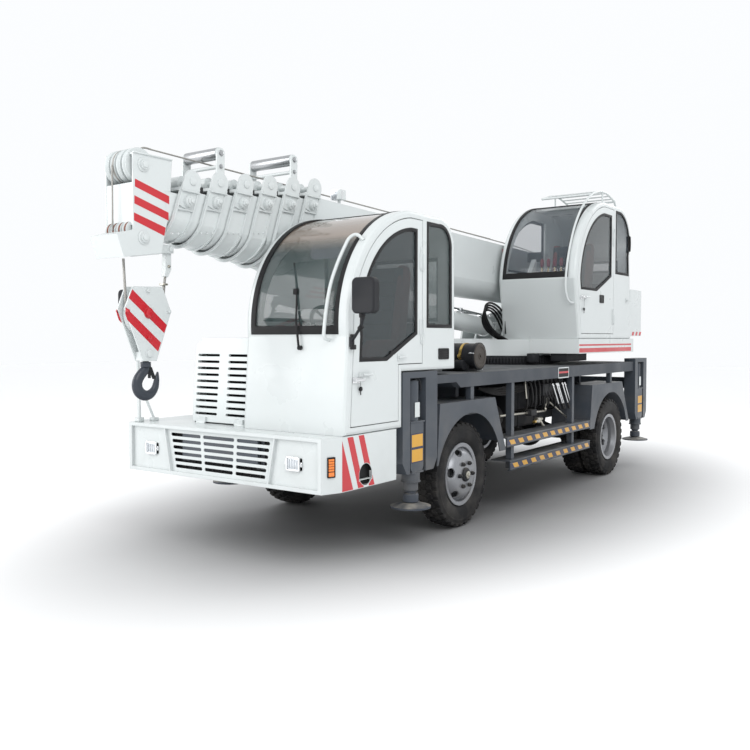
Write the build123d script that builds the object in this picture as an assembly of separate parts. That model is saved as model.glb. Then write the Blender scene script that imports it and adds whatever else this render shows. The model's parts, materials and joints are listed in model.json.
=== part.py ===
"""Self-propelled mobile crane: two-axle carrier, half cab, slewing superstructure, seven-section boom.

Millimetres. The vehicle frame used while modelling has X to the vehicle's left, Y rearward from the
bumper's front face and Z up from the ground. When a node is written it is moved forward by HALF_LENGTH_Y,
so that the origin lies on the ground in the middle of the overall box.
"""

from build123d import *
import math
import os

# ---------------------------------------------------------------- driving sizes
CLEAR = 0.3                # seat clearance between pieces of one body
RUN = 6.0                  # running clearance between moving pieces

BODY_HALF_WIDTH = 1077.0   # bumper, cab and fenders
FRONT_AXLE_Y = 2013.0
REAR_AXLE_Y = 5587.0

TYRE_R = 468.0
TYRE_W = 216.0
RIM_R = 255.0              # bead seat
RIM_FLANGE_R = 277.0
FRONT_TRACK_HALF = 910.0
REAR_OUTER_X = 970.0
TWIN_SPACING = 242.0
KINGPIN_X = FRONT_TRACK_HALF - 210

RAIL_X = 400.0             # rail centre line
RAIL_W = 80.0
RAIL_Z0 = 700.0
RAIL_Z1 = 960.0
DECK_TOP_Z = 1363.0
DECK_BEAM_H = 120.0
DECK_HALF_WIDTH = BODY_HALF_WIDTH - 27
DECK_Y0 = 1820.0
DECK_PLATE_T = 8.0

BUMPER_HALF_FACE = BODY_HALF_WIDTH - 56
BUMPER_CHAMFER_Y = 162.0
BUMPER_REAR_Y = 853.0
BUMPER_Z0 = 585.0
BUMPER_TOP_Z = 976.0
SHEET = 5.0
RECESS = 24.0

SLEW_Y = 4950.0
SLEW_R = 620.0
TURRET_Z0 = 1495.0
TURRET_TOP_Z = 1665.0
TURRET_FRONT_Y = 4620.0
TURRET_REAR_Y = 6520.0

BOOM_X = -200.0
BOOM_TILT = 1.5            # degrees, front end up
LUFF_Y = 6400.0
LUFF_Z = 2400.0
LUFF_PIN_R = 45.0
SECTION_COUNT = 7
SECTION_WALL = 6.0
BASE_HALF_WIDTH = 240.0
BASE_TOP = 346.0           # above the luff pin, measured square to the boom
BASE_BOTTOM = -315.0
BASE_BELLY = 190.0
STEP_SIDE = 15.0
STEP_TOP = 34.0
STEP_BOTTOM = 26.0
STEP_BELLY = 10.0
COLLAR_PITCH = 267.0
COLLAR_Y = 1128.0          # base section's collar, at ear height
COLLAR_LEN = 172.0
COLLAR_RIM = 20.0
COLLAR_SLANT = 18.0
SECTION_TAIL_Y = 6180.0    # base's open bore ends here; inner sections stop short of it
HEAD_FRONT_Y = -860.0

CYL_FOOT = (4850.0, 1800.0)
CYL_EYE = (2600.0, 2000.0)
CYL_R = 105.0
CYL_ROD_R = 65.0

COUNTER_Y0 = TURRET_REAR_Y + CLEAR
COUNTER_Y1 = 7040.0

HALF_LENGTH_Y = (HEAD_FRONT_Y + COUNTER_Y1) / 2


# ---------------------------------------------------------------- helpers
def block(x0, x1, y0, y1, z0, z1):
    """Rectangular bar between two corners."""
    return Pos((x0 + x1) / 2, (y0 + y1) / 2, (z0 + z1) / 2) * Box(x1 - x0, y1 - y0, z1 - z0)


def across(face, x0, x1):
    """A side profile drawn in (y, z), extruded from x0 to x1."""
    return extrude(Plane.YZ.offset(x0) * face, x1 - x0)


def along(face, y0, y1):
    """A front profile drawn in (x, z), extruded from y0 to y1."""
    return extrude(Plane.XZ.offset(-y1) * face, y1 - y0)


def upward(face, z0, z1):
    """A plan drawn in (x, y), extruded from z0 to z1."""
    return extrude(Plane.XY.offset(z0) * face, z1 - z0)


def shape(*points):
    """Closed polygon through points."""
    return make_face(Polyline(*points, close=True))


def rounded(w, h, r, cx=0.0, cy=0.0):
    """Rectangle with rounded corners, about (cx, cy)."""
    return Pos(cx, cy) * RectangleRounded(w, h, r)


def rod(start, end, radius):
    """Round bar from start to end."""
    a, b = Vector(*start), Vector(*end)
    base = Plane(origin=a, z_dir=(b - a).normalized())
    return extrude(base * Circle(radius), (b - a).length)


def pipe(start, end, radius, bore):
    return rod(start, end, radius) - rod(start, end, bore)


def bent_tube(radius, *points):
    """Round tube along points, each corner bent as wide as its two runs allow."""
    corners = [Vector(*p) for p in points]
    radii = []
    for before, corner, after in zip(corners, corners[1:], corners[2:]):
        turn = math.radians((corner - before).get_angle(after - corner))
        radii.append(min(0.45 * min((corner - before).length, (after - corner).length) / math.tan(turn / 2), 1500.0))
    path = FilletPolyline(*corners, radius=radii)
    return sweep(Plane(origin=path @ 0, z_dir=path % 0) * Circle(radius), path)


def both_sides(part):
    """The piece and its mirror image across the vehicle's centre plane."""
    return [part, mirror(part, Plane.YZ)]


def fuse(first, *others):
    for other in others:
        first = first + other
    return first


def save(node, *solids):
    """Write one node, as a single solid or as several that stand apart."""
    found = []
    for item in solids:
        found.extend(item.solids())
    moved = [Pos(0, -HALF_LENGTH_Y, 0) * s for s in found]
    export_step(moved[0] if len(moved) == 1 else Compound(children=moved), f"parts/{node}.step")


os.makedirs("parts", exist_ok=True)


# ---------------------------------------------------------------- carrier frame and outriggers
BEAM_W = 190.0
BEAM_H = 230.0
BEAM_Z0 = 694.0
BOX_WALL = 8.0
BEAM_CLEAR = 6.0
BEAM_INNER_X = 30.0
FRONT_BEAM_Y = 1168.0
REAR_BEAM_Y = 6752.0
POST_X0 = BODY_HALF_WIDTH - 147
BEAM_OUTER_X = POST_X0 + 25
POST_TOP_Z = 1405.0
POST_Z0 = 600.0
POST_WIDTH = 106.0
SLOT_HALF = 118.0          # half the slot that the jack stands in
DECK_Y1 = REAR_BEAM_Y - SLOT_HALF - POST_WIDTH
REAR_LAMP_Y = REAR_BEAM_Y + SLOT_HALF + 130 + CLEAR
JACK_X = BODY_HALF_WIDTH - 69
JACK_R = 52.0
JACK_PAD_R = 163.0
JACK_PAD_Z = 322.0

#             name    centre y      post before  post after
OUTRIGGERS = [("front", FRONT_BEAM_Y, POST_WIDTH, 180.0),
              ("rear", REAR_BEAM_Y, POST_WIDTH, 130.0)]


CROSS_MEMBER_YS = (90.0, 1560.0, 2500.0, 3300.0, 4100.0, 6250.0)
BEARER_YS = (DECK_Y0 + 90, 2900.0, 3700.0, 6200.0)


def beam_tube(y):
    """Fixed outer box that both beams of one axle line slide in, and the hole through it."""
    side = BEAM_W / 2 + BEAM_CLEAR
    hole = block(-POST_X0 - 10, POST_X0 + 10, y - side, y + side, BEAM_Z0 - BEAM_CLEAR, BEAM_Z0 + BEAM_H + BEAM_CLEAR)
    reach = side + BOX_WALL
    outer = block(-POST_X0, POST_X0, y - reach, y + reach,
                  BEAM_Z0 - BEAM_CLEAR - BOX_WALL, BEAM_Z0 + BEAM_H + BEAM_CLEAR + BOX_WALL)
    for part in both_sides(block(POST_X0 - 14, POST_X0, y - SLOT_HALF - POST_WIDTH / 2, y + SLOT_HALF + POST_WIDTH / 2,
                                 BEAM_Z0 - 50, BEAM_Z0 + BEAM_H + 50)):
        outer += part
    return outer, hole


def end_frame(y, before, after):
    """Portal of folded plate at the left end of an outrigger box: two posts and a lintel round the jack slot."""
    outline = shape((y - SLOT_HALF - before, POST_TOP_Z), (y + SLOT_HALF + after, POST_TOP_Z),
                    (y + SLOT_HALF + after, POST_Z0 + 90), (y + SLOT_HALF + after - 60, POST_Z0),
                    (y - SLOT_HALF - before + 60, POST_Z0), (y - SLOT_HALF - before, POST_Z0 + 90))
    slot = shape((y - SLOT_HALF, POST_TOP_Z - 50), (y + SLOT_HALF, POST_TOP_Z - 50),
                 (y + SLOT_HALF, POST_Z0 - 10), (y - SLOT_HALF, POST_Z0 - 10))
    return across(outline - slot, POST_X0, BODY_HALF_WIDTH)


def chassis_frame():
    frame = None
    for part in both_sides(block(RAIL_X - RAIL_W / 2, RAIL_X + RAIL_W / 2, 60, REAR_BEAM_Y + 240, RAIL_Z0, RAIL_Z1)):
        frame = part if frame is None else frame + part
    for y in CROSS_MEMBER_YS:
        frame += block(-RAIL_X, RAIL_X, y, y + 70, RAIL_Z0 + 40, RAIL_Z1 - 40)
    frame += block(-RAIL_X, RAIL_X, RECESS + SHEET + CLEAR, 92, RAIL_Z0 + 40, RAIL_Z1 - 40)
    # turntable box between rails and deck
    well = block(-470, 470, SLEW_Y - 640, SLEW_Y + 640, RAIL_Z1 - 60, DECK_TOP_Z - DECK_PLATE_T)
    frame += well - block(-455, 455, SLEW_Y - 625, SLEW_Y + 625, RAIL_Z1 - 70, DECK_TOP_Z - DECK_PLATE_T - 12)
    # deck bearers
    for y in BEARER_YS:
        frame += block(-RAIL_X - 40, RAIL_X + 40, y, y + 60, RAIL_Z1 - 20, DECK_TOP_Z - DECK_BEAM_H)
        frame += block(-DECK_HALF_WIDTH + 70, DECK_HALF_WIDTH - 70, y, y + 60,
                       DECK_TOP_Z - DECK_BEAM_H, DECK_TOP_Z - DECK_PLATE_T)
    # rear cross panel that carries the tail lamps
    frame += block(-POST_X0 - 5, POST_X0 + 5, REAR_LAMP_Y - 12, REAR_LAMP_Y - CLEAR, 985, 1135)
    for name, y, before, after in OUTRIGGERS:
        outer, hole = beam_tube(y)
        frame = frame + outer - hole
        for part in both_sides(block(POST_X0 - 90, POST_X0 - 20, y - 70, y + 70, BEAM_Z0 - BEAM_CLEAR - 1, BEAM_Z0 - CLEAR)):
            frame += part
        for part in both_sides(end_frame(y, before, after)):
            frame += part
    return frame


def outrigger_beam(y):
    """Left sliding beam with the jack's barrel held at its outer end."""
    beam = block(BEAM_INNER_X, BEAM_OUTER_X, y - BEAM_W / 2, y + BEAM_W / 2, BEAM_Z0, BEAM_Z0 + BEAM_H)
    beam -= block(BEAM_INNER_X - 1, BEAM_OUTER_X - 60, y - BEAM_W / 2 + 8, y + BEAM_W / 2 - 8, BEAM_Z0 + 8, BEAM_Z0 + BEAM_H - 8)
    shoe = shape((y - 96, 1000), (y + 96, 1000), (y + 96, 640), (y + 70, POST_Z0), (y - 70, POST_Z0), (y - 96, 640))
    beam += across(shoe, BEAM_OUTER_X - 5, BODY_HALF_WIDTH - 8)
    beam += rod((JACK_X, y, 455), (JACK_X, y, 1330), JACK_R + 8)
    beam += rod((JACK_X, y, 520), (JACK_X, y, 600), JACK_R + 22)
    return beam - rod((JACK_X, y, 400), (JACK_X, y, 1310), JACK_R - 12 + 1.0)


def jack(y):
    """Left jack ram: chromed rod, ball neck and round pad."""
    r = JACK_R - 12
    ram = rod((JACK_X, y, JACK_PAD_Z + 70), (JACK_X, y, 1290), r)
    neck = rod((JACK_X, y, JACK_PAD_Z + 10), (JACK_X, y, JACK_PAD_Z + 110), 34)
    neck += Pos(JACK_X, y, JACK_PAD_Z + 62) * Sphere(52)
    profile = shape((0, 0), (JACK_PAD_R, 0), (JACK_PAD_R, 14), (90, 34), (60, 40), (0, 40))
    pad = Pos(JACK_X, y, JACK_PAD_Z - 8) * revolve(Plane.XZ * profile, Axis.Z)
    return ram + neck + pad


save("chassis_frame", chassis_frame())
for name, y, before, after in OUTRIGGERS:
    left_beam, right_beam = both_sides(outrigger_beam(y))
    save(f"outrigger_beam_{name}_left", left_beam)
    save(f"outrigger_beam_{name}_right", right_beam)
    left_jack, right_jack = both_sides(jack(y))
    save(f"jack_{name}_left", left_jack)
    save(f"jack_{name}_right", right_jack)


# ---------------------------------------------------------------- deck
def deck():
    plate = block(-DECK_HALF_WIDTH, DECK_HALF_WIDTH, DECK_Y0, DECK_Y1, DECK_TOP_Z - DECK_PLATE_T, DECK_TOP_Z)
    z1 = DECK_TOP_Z - DECK_PLATE_T
    beam = shape((DECK_Y0, z1), (DECK_Y1, z1), (DECK_Y1, DECK_TOP_Z - DECK_BEAM_H),
                 (DECK_Y0 + 90, DECK_TOP_Z - DECK_BEAM_H), (DECK_Y0, z1 - 55))
    strip = block(DECK_HALF_WIDTH - 70, DECK_HALF_WIDTH, OUTRIGGERS[0][1] + SLOT_HALF + 180, DECK_Y0 + 1, z1 - 62, DECK_TOP_Z)
    for part in both_sides(across(beam, DECK_HALF_WIDTH - 70, DECK_HALF_WIDTH) + strip):
        plate += part
    return plate


save("deck", deck())


# ---------------------------------------------------------------- bumper with grille
GRILLE_ROWS = 6
GRILLE_COLUMNS = 3
GRILLE_TOP = 905.0
GRILLE_PITCH = 50.0
SLOT_H = 26.0
RIB_TOP_X = 580.0
RIB_BOTTOM_X = 515.0
STEP_HOLE_Y = 450.0


def bumper_plan(inset):
    face = BUMPER_HALF_FACE - inset * 0.6
    side = BODY_HALF_WIDTH - inset
    return shape((-face, inset), (face, inset), (side, BUMPER_CHAMFER_Y), (side, BUMPER_REAR_Y),
                 (-side, BUMPER_REAR_Y), (-side, BUMPER_CHAMFER_Y))


ENGINE_X = -245.0
ENGINE_HALF = 95.0
ENGINE_Y0 = 440.0


def bumper():
    body = upward(bumper_plan(0), BUMPER_Z0, BUMPER_TOP_Z)
    hollow = upward(bumper_plan(SHEET) + Pos(0, BUMPER_REAR_Y) * Rectangle(2 * (BODY_HALF_WIDTH - SHEET), 60),
                    BUMPER_Z0 - 1, BUMPER_TOP_Z - SHEET)
    keep = block(-1100, 1100, -1, RECESS + SHEET, BUMPER_Z0 - 2, BUMPER_TOP_Z + 1)
    body = body - (hollow - keep)
    # recessed face behind a flange and two slanted ribs
    z0, z1 = BUMPER_Z0 + 28, BUMPER_TOP_Z - 28
    lamp = shape((RIB_TOP_X + 14, z1), (BUMPER_HALF_FACE - 34, z1), (BUMPER_HALF_FACE - 34, z0), (RIB_BOTTOM_X + 14, z0))
    centre = shape((-RIB_TOP_X, z1), (RIB_TOP_X, z1), (RIB_BOTTOM_X, z0), (-RIB_BOTTOM_X, z0))
    body -= along(centre, -1, RECESS)
    for part in both_sides(along(lamp, -1, RECESS)):
        body -= part
    # grille slots, three columns that follow the slanted ribs
    for row in range(GRILLE_ROWS):
        z = GRILLE_TOP - row * GRILLE_PITCH
        half = RIB_BOTTOM_X + (RIB_TOP_X - RIB_BOTTOM_X) * (z - z0) / (z1 - z0) - 30
        width = 2 * half / GRILLE_COLUMNS
        for column in range(GRILLE_COLUMNS):
            x = (column - (GRILLE_COLUMNS - 1) / 2) * width
            body -= along(Pos(x, z) * SlotOverall(width - 28, SLOT_H), RECESS - 1, RECESS + SHEET + 2)
    # foot hole in each side panel
    hole = shape((STEP_HOLE_Y - 80, 640), (STEP_HOLE_Y + 80, 640), (STEP_HOLE_Y + 80, 680), (STEP_HOLE_Y - 80, 680))
    hole += Pos(STEP_HOLE_Y, 680) * Circle(80)
    for part in both_sides(across(hole, BODY_HALF_WIDTH - 20, BODY_HALF_WIDTH + 5)):
        body -= part
    # opening under the hood for the engine
    return body - block(ENGINE_X - ENGINE_HALF - 20, ENGINE_X + ENGINE_HALF + 20, ENGINE_Y0 - 20, BUMPER_REAR_Y + 1,
                        BUMPER_TOP_Z - SHEET - 1, BUMPER_TOP_Z + 1)


save("bumper", bumper())


# ---------------------------------------------------------------- lamps and indicators
def lamps():
    x, z = BUMPER_HALF_FACE - 264, 778
    head = along(rounded(128, 104, 14, x, z) - rounded(100, 76, 10, x, z), RECESS - 22, RECESS - CLEAR)
    head += along(rounded(104, 80, 10, x, z), RECESS - 14, RECESS - CLEAR)
    amber = block(-32, 32, -9, 0, -72, 72)
    turn = Pos(BUMPER_HALF_FACE + 27, BUMPER_CHAMFER_Y / 2 - 6, 772) * Rot(0, 0, 71) * amber
    tail = block(BODY_HALF_WIDTH - 357, BODY_HALF_WIDTH - 177, REAR_LAMP_Y, REAR_LAMP_Y + 40, 1010, 1110)
    solids = []
    for part in (head, turn, tail):
        solids += both_sides(part)
    return solids




save("lamps", *lamps())


# ---------------------------------------------------------------- fenders and side steps
FENDER_TOP_Z = 1125.0
FENDER_DEPTH = 330.0
ARCH_R = 600.0
ARCH_Z = 412.0

#           name     axle y        front bottom y  top front y  top rear y  rear bottom y
FENDERS = [("front", FRONT_AXLE_Y, -546.0, -500.0, 498.0, 726.0),
           ("rear", REAR_AXLE_Y, -671.0, -600.0, 427.0, 699.0)]


def fender(axle_y, front_bottom, front_top, rear_top, rear_bottom):
    """Left fender: a pressed cover with an arch cut in its side plate."""
    outline = shape((axle_y + front_bottom, 612), (axle_y + front_top, FENDER_TOP_Z),
                    (axle_y + rear_top, FENDER_TOP_Z), (axle_y + rear_bottom, 612))
    arch = Pos(axle_y + 40, ARCH_Z) * Circle(ARCH_R)
    side = across(outline - arch, BODY_HALF_WIDTH - 10, BODY_HALF_WIDTH)
    cover = across(outline - offset(outline, -8, kind=Kind.INTERSECTION), BODY_HALF_WIDTH - FENDER_DEPTH, BODY_HALF_WIDTH - 5)
    cover = (cover - block(0, 2000, axle_y - 3000, axle_y + 3000, 600, 1010) -
             across(Pos(axle_y + 40, ARCH_Z) * Circle(ARCH_R - 6), 0, BODY_HALF_WIDTH - 9))
    stay = block(DECK_HALF_WIDTH - 60, DECK_HALF_WIDTH - 8, axle_y + 90, axle_y + 150, FENDER_TOP_Z - 6, DECK_TOP_Z - DECK_BEAM_H - CLEAR)
    return side + cover + stay


save("fenders", *[part for name, y, a, b, c, d in FENDERS for part in both_sides(fender(y, a, b, c, d))])

STEP_POST = 60.0
STEP_POST_YS = (2960.0, 4490.0)
#                top z  front y  rear y  depth
STEP_BOARDS = [(722.0, 2770.0, 4910.0, 190.0),
               (492.0, 2840.0, 4920.0, 210.0)]
STEP_T = 96.0


def side_step():
    """Left pair of folded step boards on two square posts under the deck beam."""
    post_x1 = DECK_HALF_WIDTH - 10
    low = STEP_BOARDS[-1][0] - STEP_T
    parts = None
    for y in STEP_POST_YS:
        post = block(post_x1 - STEP_POST, post_x1, y - STEP_POST / 2, y + STEP_POST / 2, low + 10, DECK_TOP_Z - DECK_BEAM_H)
        parts = post if parts is None else parts + post
    for top, y0, y1, depth in STEP_BOARDS:
        x1 = BODY_HALF_WIDTH - 2
        z0 = top - STEP_T
        section = make_face(Polyline((x1 - depth, top), (x1 - 22, top)) +
                            ThreePointArc((x1 - 22, top), (x1 - 6, top - 7), (x1, top - 22)) +
                            Polyline((x1, top - 22), (x1, z0 + 18)) +
                            ThreePointArc((x1, z0 + 18), (x1 - 5, z0 + 5), (x1 - 18, z0)) +
                            Polyline((x1 - 18, z0), (x1 - 30, z0), (x1 - 12, z0 + 20), (x1 - 12, top - 24),
                                     (x1 - 24, top - 10), (x1 - depth, top - 10), (x1 - depth, top)))
        parts += along(section, y0, y1)
    return parts


save("side_steps", *both_sides(side_step()))


# ---------------------------------------------------------------- axles, springs, knuckles
REAR_HUB_X0 = REAR_OUTER_X - TWIN_SPACING / 2 - 150
SPINDLE_R = 45.0
STUB_R = 30.0
FRONT_HUB_X0 = FRONT_TRACK_HALF - 112
KNUCKLE_GAP = 0.5
BOSS_R = 46.0
BOSS_Z0 = 412.0
BOSS_Z1 = 524.0
PIN_R = 18.0
SPRING_X = RAIL_X
SPRING_W = 66.0
SPRING_HALF = 520.0


def spring(y):
    """Left leaf spring with its two hangers, fixed under the rail and strapped to the axle."""
    sag = RAIL_Z0 - 530
    leaf = None
    for number, share in enumerate((1.0, 0.78, 0.56, 0.34)):
        half = SPRING_HALF * share
        z_mid = 530 + 14 * (3 - number)
        rise = sag * 0.55 * share ** 2
        arc = ThreePointArc((y - half, z_mid + rise), (y, z_mid), (y + half, z_mid + rise))
        top = ThreePointArc((y + half, z_mid + rise + 14), (y, z_mid + 14), (y - half, z_mid + rise + 14))
        face = make_face(arc + Line(arc @ 1, top @ 0) + top + Line(top @ 1, arc @ 0))
        piece = across(face, SPRING_X - SPRING_W / 2, SPRING_X + SPRING_W / 2)
        leaf = piece if leaf is None else leaf + piece
    for end in (-1, 1):
        hanger = shape((y + end * (SPRING_HALF - 60), RAIL_Z0), (y + end * (SPRING_HALF + 60), RAIL_Z0),
                       (y + end * (SPRING_HALF + 20), 600), (y + end * (SPRING_HALF - 20), 600))
        leaf += across(hanger, SPRING_X - SPRING_W / 2 - 6, SPRING_X + SPRING_W / 2 + 6)
    return leaf


def front_axle():
    y = FRONT_AXLE_Y
    beam = along(shape((-KINGPIN_X + 40, 440), (-300, 420), (300, 420), (KINGPIN_X - 40, 440),
                       (KINGPIN_X - 40, 500), (300, 530), (-300, 530), (-KINGPIN_X + 40, 500)), y - 38, y + 38)
    for part in both_sides(rod((KINGPIN_X, y, BOSS_Z0), (KINGPIN_X, y, BOSS_Z1), BOSS_R)):
        beam += part
    for part in both_sides(block(SPRING_X - 50, SPRING_X + 50, y - 60, y + 60, 500, 545)):
        beam += part
    for part in both_sides(rod((KINGPIN_X, y, 300), (KINGPIN_X, y, 600), PIN_R + CLEAR)):
        beam -= part
    for part in both_sides(spring(y)):
        beam += part
    return beam


def rear_axle():
    y = REAR_AXLE_Y
    casing = rod((-REAR_HUB_X0 + 8, y, TYRE_R), (REAR_HUB_X0 - 8, y, TYRE_R), 62)
    casing += rod((-REAR_HUB_X0 - 160, y, TYRE_R), (REAR_HUB_X0 + 160, y, TYRE_R), SPINDLE_R)
    banjo = Pos(0, y, TYRE_R) * Sphere(190)
    casing += banjo & block(-150, 150, y - 200, y + 200, 260, 700)
    casing += rod((0, y - 260, TYRE_R + 10), (0, y, TYRE_R + 10), 70)
    for part in both_sides(block(SPRING_X - 50, SPRING_X + 50, y - 60, y + 60, 480, 545)):
        casing += part
    for part in both_sides(spring(y)):
        casing += part
    return casing


def knuckle():
    """Left steering knuckle: fork round the axle boss, pin, stub axle and brake back plate."""
    y = FRONT_AXLE_Y
    top = rod((KINGPIN_X, y, BOSS_Z1 + KNUCKLE_GAP), (KINGPIN_X, y, BOSS_Z1 + 40), BOSS_R)
    low = rod((KINGPIN_X, y, BOSS_Z0 - 40), (KINGPIN_X, y, BOSS_Z0 - KNUCKLE_GAP), BOSS_R)
    pin = rod((KINGPIN_X, y, BOSS_Z0 - 40), (KINGPIN_X, y, BOSS_Z1 + 40), PIN_R)
    x0 = KINGPIN_X + BOSS_R + 4
    web = block(KINGPIN_X, x0 + 26, y - 42, y + 42, BOSS_Z0 - 40, BOSS_Z1 + 40)
    web -= block(KINGPIN_X - 60, x0, y - 60, y + 60, BOSS_Z0 - KNUCKLE_GAP, BOSS_Z1 + KNUCKLE_GAP)
    stub = rod((x0 + 20, y, TYRE_R), (FRONT_HUB_X0 + 80, y, TYRE_R), STUB_R)
    arm = block(KINGPIN_X - 20, KINGPIN_X + 20, y, y + 190, BOSS_Z0 - 40, BOSS_Z0 - 16)
    return top + low + pin + web + stub + arm


# ---------------------------------------------------------------- wheels
HUB_R = 92.0
BEAD_SHARE = 0.74          # bead width over section width
DISC_T = 12.0
STUDS = 6
STUD_CIRCLE_R = 111.0
VENTS = 6
VENT_CIRCLE_R = 178.0


def tyre(x):
    """Tyre centred at x on the left: bulged sidewalls, square shoulders and a nearly flat crown."""
    w, r = TYRE_W / 2, TYRE_R
    bead = BEAD_SHARE * w
    outline = (Polyline((-bead, RIM_R + CLEAR), (-bead, RIM_FLANGE_R + 6)) +
               ThreePointArc((-bead, RIM_FLANGE_R + 6), (-w, (r + RIM_R) / 2), (-0.92 * w, r - 34)) +
               Polyline((-0.92 * w, r - 34), (-0.88 * w, r - 8)) +
               ThreePointArc((-0.88 * w, r - 8), (0, r), (0.88 * w, r - 8)) +
               Polyline((0.88 * w, r - 8), (0.92 * w, r - 34)) +
               ThreePointArc((0.92 * w, r - 34), (w, (r + RIM_R) / 2), (bead, RIM_FLANGE_R + 6)) +
               Polyline((bead, RIM_FLANGE_R + 6), (bead, RIM_R + CLEAR), (-bead, RIM_R + CLEAR)))
    return Pos(x, 0, TYRE_R) * revolve(Plane.XZ * make_face(outline), Axis.X)


def rim_barrel():
    """Rim section about the wheel's middle plane: flanges at both edges and a dropped well."""
    w = BEAD_SHARE * TYRE_W / 2 + CLEAR
    face = shape((-w - 12, RIM_FLANGE_R), (-w, RIM_FLANGE_R), (-w, RIM_R), (-w + 34, RIM_R), (-w + 44, RIM_R - 14),
                 (w - 44, RIM_R - 14), (w - 34, RIM_R), (w, RIM_R), (w, RIM_FLANGE_R), (w + 12, RIM_FLANGE_R),
                 (w + 8, RIM_R - 12), (w - 40, RIM_R - 26), (-w + 40, RIM_R - 26), (-w - 8, RIM_R - 12))
    return revolve(Plane.XZ * face, Axis.X)


def wheel_disc(flat_x, rim_x, sign):
    """Dished disc from the rim well to the flat face; sign is +1 when the flat stands outboard of the rim seat."""
    face = shape((rim_x, RIM_R - 24), (rim_x + sign * 14, RIM_R - 24), (flat_x + sign * DISC_T, 158), (flat_x + sign * DISC_T, 40),
                 (flat_x, 40), (flat_x, 150))
    disc = revolve(Plane.XZ * face, Axis.X)
    for k in range(VENTS):
        a = math.radians(360 / VENTS * (k + 0.5))
        spot = Plane(origin=(min(flat_x, rim_x) - 60, VENT_CIRCLE_R * 1.07 * math.cos(a), VENT_CIRCLE_R * 1.07 * math.sin(a)),
                     x_dir=(0, -math.sin(a), math.cos(a)), z_dir=(1, 0, 0))
        disc -= extrude(spot * SlotOverall(92, 46), 200)
    return disc


def studs(x0, x1, radius):
    pins = []
    for k in range(STUDS):
        a = math.radians(360 / STUDS * k)
        y, z = STUD_CIRCLE_R * math.cos(a), STUD_CIRCLE_R * math.sin(a)
        pins.append(rod((x0, y, z), (x1, y, z), radius))
    return pins


def front_rim():
    """Left front rim, disc, hub and hub cap, about the wheel centre."""
    rim = rim_barrel() + wheel_disc(40, 8, 1)
    hub = rod((-108, 0, 0), (41, 0, 0), HUB_R) + rod((40, 0, 0), (78, 0, 0), 58) + rod((77, 0, 0), (92, 0, 0), 36)
    rim = fuse(rim, hub, *studs(45, 74, 13))
    drum = rod((-104, 0, 0), (-30, 0, 0), 190)
    rim += drum
    rim -= rod((-120, 0, 0), (-8, 0, 0), STUB_R + CLEAR)
    place = Pos(FRONT_TRACK_HALF, FRONT_AXLE_Y, TYRE_R)
    return place * rim


def rear_rims():
    """Left twin rims bolted disc to disc on one hub."""
    outer = Pos(TWIN_SPACING / 2, 0, 0) * rim_barrel()
    inner = Pos(-TWIN_SPACING / 2, 0, 0) * rim_barrel()
    outer += dish(1)
    inner += dish(-1)
    hub = rod((-150, 0, 0), (60, 0, 0), HUB_R) + rod((59, 0, 0), (104, 0, 0), 76)
    rims = fuse(outer + inner, hub, *studs(10, 44, 13)) - rod((-160, 0, 0), (12, 0, 0), SPINDLE_R + CLEAR)
    return Pos(REAR_OUTER_X - TWIN_SPACING / 2, REAR_AXLE_Y, TYRE_R) * rims


def dish(side):
    """One deep disc of the twin pair, from the middle plane out to its rim well."""
    rim_x = side * (TWIN_SPACING / 2 - 10)
    face = shape((0, 60), (0, 158), (rim_x - side * 30, 214), (rim_x, RIM_R - 24), (rim_x + side * 14, RIM_R - 24),
                 (rim_x - side * 18, 204), (side * DISC_T, 148), (side * DISC_T, 60))
    disc = revolve(Plane.XZ * face, Axis.X)
    for k in range(VENTS):
        a = math.radians(360 / VENTS * (k + 0.5))
        spot = Plane(origin=(-200, 188 * math.cos(a), 188 * math.sin(a)), x_dir=(0, -math.sin(a), math.cos(a)), z_dir=(1, 0, 0))
        disc -= extrude(spot * SlotOverall(80, 38), 400)
    return disc


left_knuckle, right_knuckle = both_sides(knuckle())
save("front_axle", front_axle())
save("rear_axle", rear_axle())
save("knuckle_left", left_knuckle)
save("knuckle_right", right_knuckle)
front_tyre = Pos(0, FRONT_AXLE_Y, 0) * tyre(FRONT_TRACK_HALF)
rear_pair = [Pos(0, REAR_AXLE_Y, 0) * tyre(x) for x in (REAR_OUTER_X, REAR_OUTER_X - TWIN_SPACING)]
for side, flip in (("left", False), ("right", True)):
    turn = (lambda s: mirror(s, Plane.YZ)) if flip else (lambda s: s)
    save(f"front_tyre_{side}", turn(front_tyre))
    save(f"front_rim_{side}", turn(front_rim()))
    save(f"rear_tyres_{side}", *[turn(t) for t in rear_pair])
    save(f"rear_rims_{side}", turn(rear_rims()))


# ---------------------------------------------------------------- cabs
CAB_WALL = 40.0
CAB_ROLL = 26.0            # rolled edge between skin and side
GLASS_T = 6.0
DOOR_GAP = 6.0

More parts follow.
